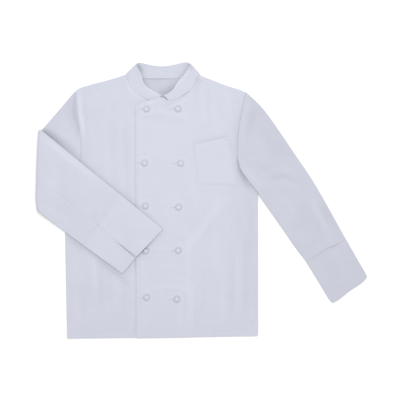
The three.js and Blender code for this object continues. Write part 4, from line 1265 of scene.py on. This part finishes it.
for node, piece in cloth.items():
    points = points_of(piece)
    rise = normals_of(piece)[:, 2]
    # Painted shade: greyer below the surroundings, on side walls, round the buttons and along the table's rows.
    shade = ((read_map(around, points) - points[:, 2]) / FULL_DEPTH).clip(0, 1)
    shade += painted_shade_rows(node, points) + EDGE_SHADE * (1 - np.abs(rise)) ** 2
    if node == "front_left":
        radius, width, dark = BUTTON_RING_SHADE
        for x, y in BUTTONS.values():
            distance = np.hypot(points[:, 0] - x, points[:, 1] - y)
            shade += dark * np.exp(-(((distance - radius) / width) ** 2))
    shade *= (rise * 2 + 0.5).clip(0, 1)
    store(piece, "painted_shade_and_highlight", shade)
    print(node, "shade from", shade.min().round(2), "to", shade.max().round(2))

# %% Materials on thread, painted shade strips and buttons
for piece in thread_pieces.values():
    piece.data.materials.append(white_thread)
for piece in shade_strip_pieces.values():
    piece.data.materials.append(shade_strip_cloth)
slit_shade.data.materials.append(slit_shade_cloth)
for piece in studs.values():
    piece.data.materials.append(button_plastic)

# %% [markdown]
# ## What each piece stands for
# Every fine piece replaces its plain wall and rides on the one body. A table gives the flat cut of cloth
# that each was made from: width and length of the pattern piece, its area where it isn't a rectangle, how
# it is held and what it rests on. The loop reads these values and leaves them unused.

# %% Rides and cuts
CUTS = {
    "back": (0.577, 0.792, 0.420, "laid", ["floor_sheet"]),
    "front_right": (0.370, 0.792, 0.262, "laid", ["back"]),
    "front_left": (0.372, 0.789, 0.255, "laid", ["front_right"]),
    "pocket": (0.118, 0.146, 0.0158, "laid", ["front_left"]),
    "collar": (0.500, 0.048, 0.0200, "folded", ["back"]),
    "sleeve_left_under": (0.125, 0.400, 0.0185, "laid", ["floor_sheet"]),
    "sleeve_left_top": (0.340, 0.600, 0.1260, "folded", ["front_left"]),
    "cuff_left": (0.300, 0.150, 0.0420, "folded", ["floor_sheet"]),
    "sleeve_right_under": (0.120, 0.520, 0.0230, "folded", ["front_right"]),
    "sleeve_right_top": (0.340, 0.600, 0.1400, "folded", ["front_right"]),
    "cuff_right": (0.340, 0.150, 0.0470, "folded", ["front_left"]),
}

floor_mesh = bpy.data.meshes.new("floor_sheet")
FLOOR_HALF = 4.0
FLOOR_DROP = -0.0004
FLOOR_CORNERS = ((-1, -1), (1, -1), (1, 1), (-1, 1))
floor_mesh.from_pydata(
    [(x * FLOOR_HALF, y * FLOOR_HALF, FLOOR_DROP) for x, y in FLOOR_CORNERS], [], [(0, 1, 2, 3)],
)
floor = bpy.data.objects.new("floor_sheet", floor_mesh)
bpy.context.collection.objects.link(floor)

for node, piece in cloth.items():
    width, length, area, held, rests_on = CUTS[node]
    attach(piece, "root")
    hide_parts(node)
    trimmings = [heaps[node] for heaps in (thread_pieces, shade_strip_pieces) if node in heaps]
    if node == "front_left":
        trimmings.append(slit_shade)
for group in (thread_pieces, shade_strip_pieces):
    for node, piece in group.items():
        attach(piece, "root")
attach(slit_shade, "root")
for name, piece in studs.items():
    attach(piece, "root")
    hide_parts(name)

# %% [markdown]
# ## A pale table and soft light
# The jacket was photographed under wide soft light, so its folds read as faint greys and its shadows hug
# the edges. One very large lamp above the collar's side gives the folds their direction, a weak one
# nearer to the chest makes the middle a little brighter, and the sky fills the rest.

# %% Table and lights
floor_material, floor_tree, floor_shader = new_material("pale_table")
floor_shader.inputs["Base Color"].default_value = (0.93, 0.93, 0.935, 1)
floor_shader.inputs["Roughness"].default_value = 0.9
floor_shader.inputs["Specular IOR Level"].default_value = 0.1
floor.data.materials.append(floor_material)

world = bpy.data.worlds.new("soft_sky")
bpy.context.scene.world = world
world.use_nodes = True
sky = world.node_tree.nodes["Background"]
sky.inputs["Color"].default_value = (1.0, 1.0, 1.0, 1)
sky.inputs["Strength"].default_value = 0.84


def add_lamp(name, place, aim, size, power):
    data = bpy.data.lights.new(name, "AREA")
    data.shape = "SQUARE"
    data.size = size
    data.energy = power
    lamp = bpy.data.objects.new(name, data)
    lamp.location = place
    lamp.rotation_euler = (Vector(aim) - Vector(place)).to_track_quat("-Z", "Y").to_euler()
    bpy.context.collection.objects.link(lamp)


add_lamp("window", (0.0, 0.9, 2.3), (0, 0, 0), 1.6, 18)
add_lamp("ceiling", (-0.05, 0.12, 1.35), (-0.05, 0.12, 0), 0.7, 3.2)
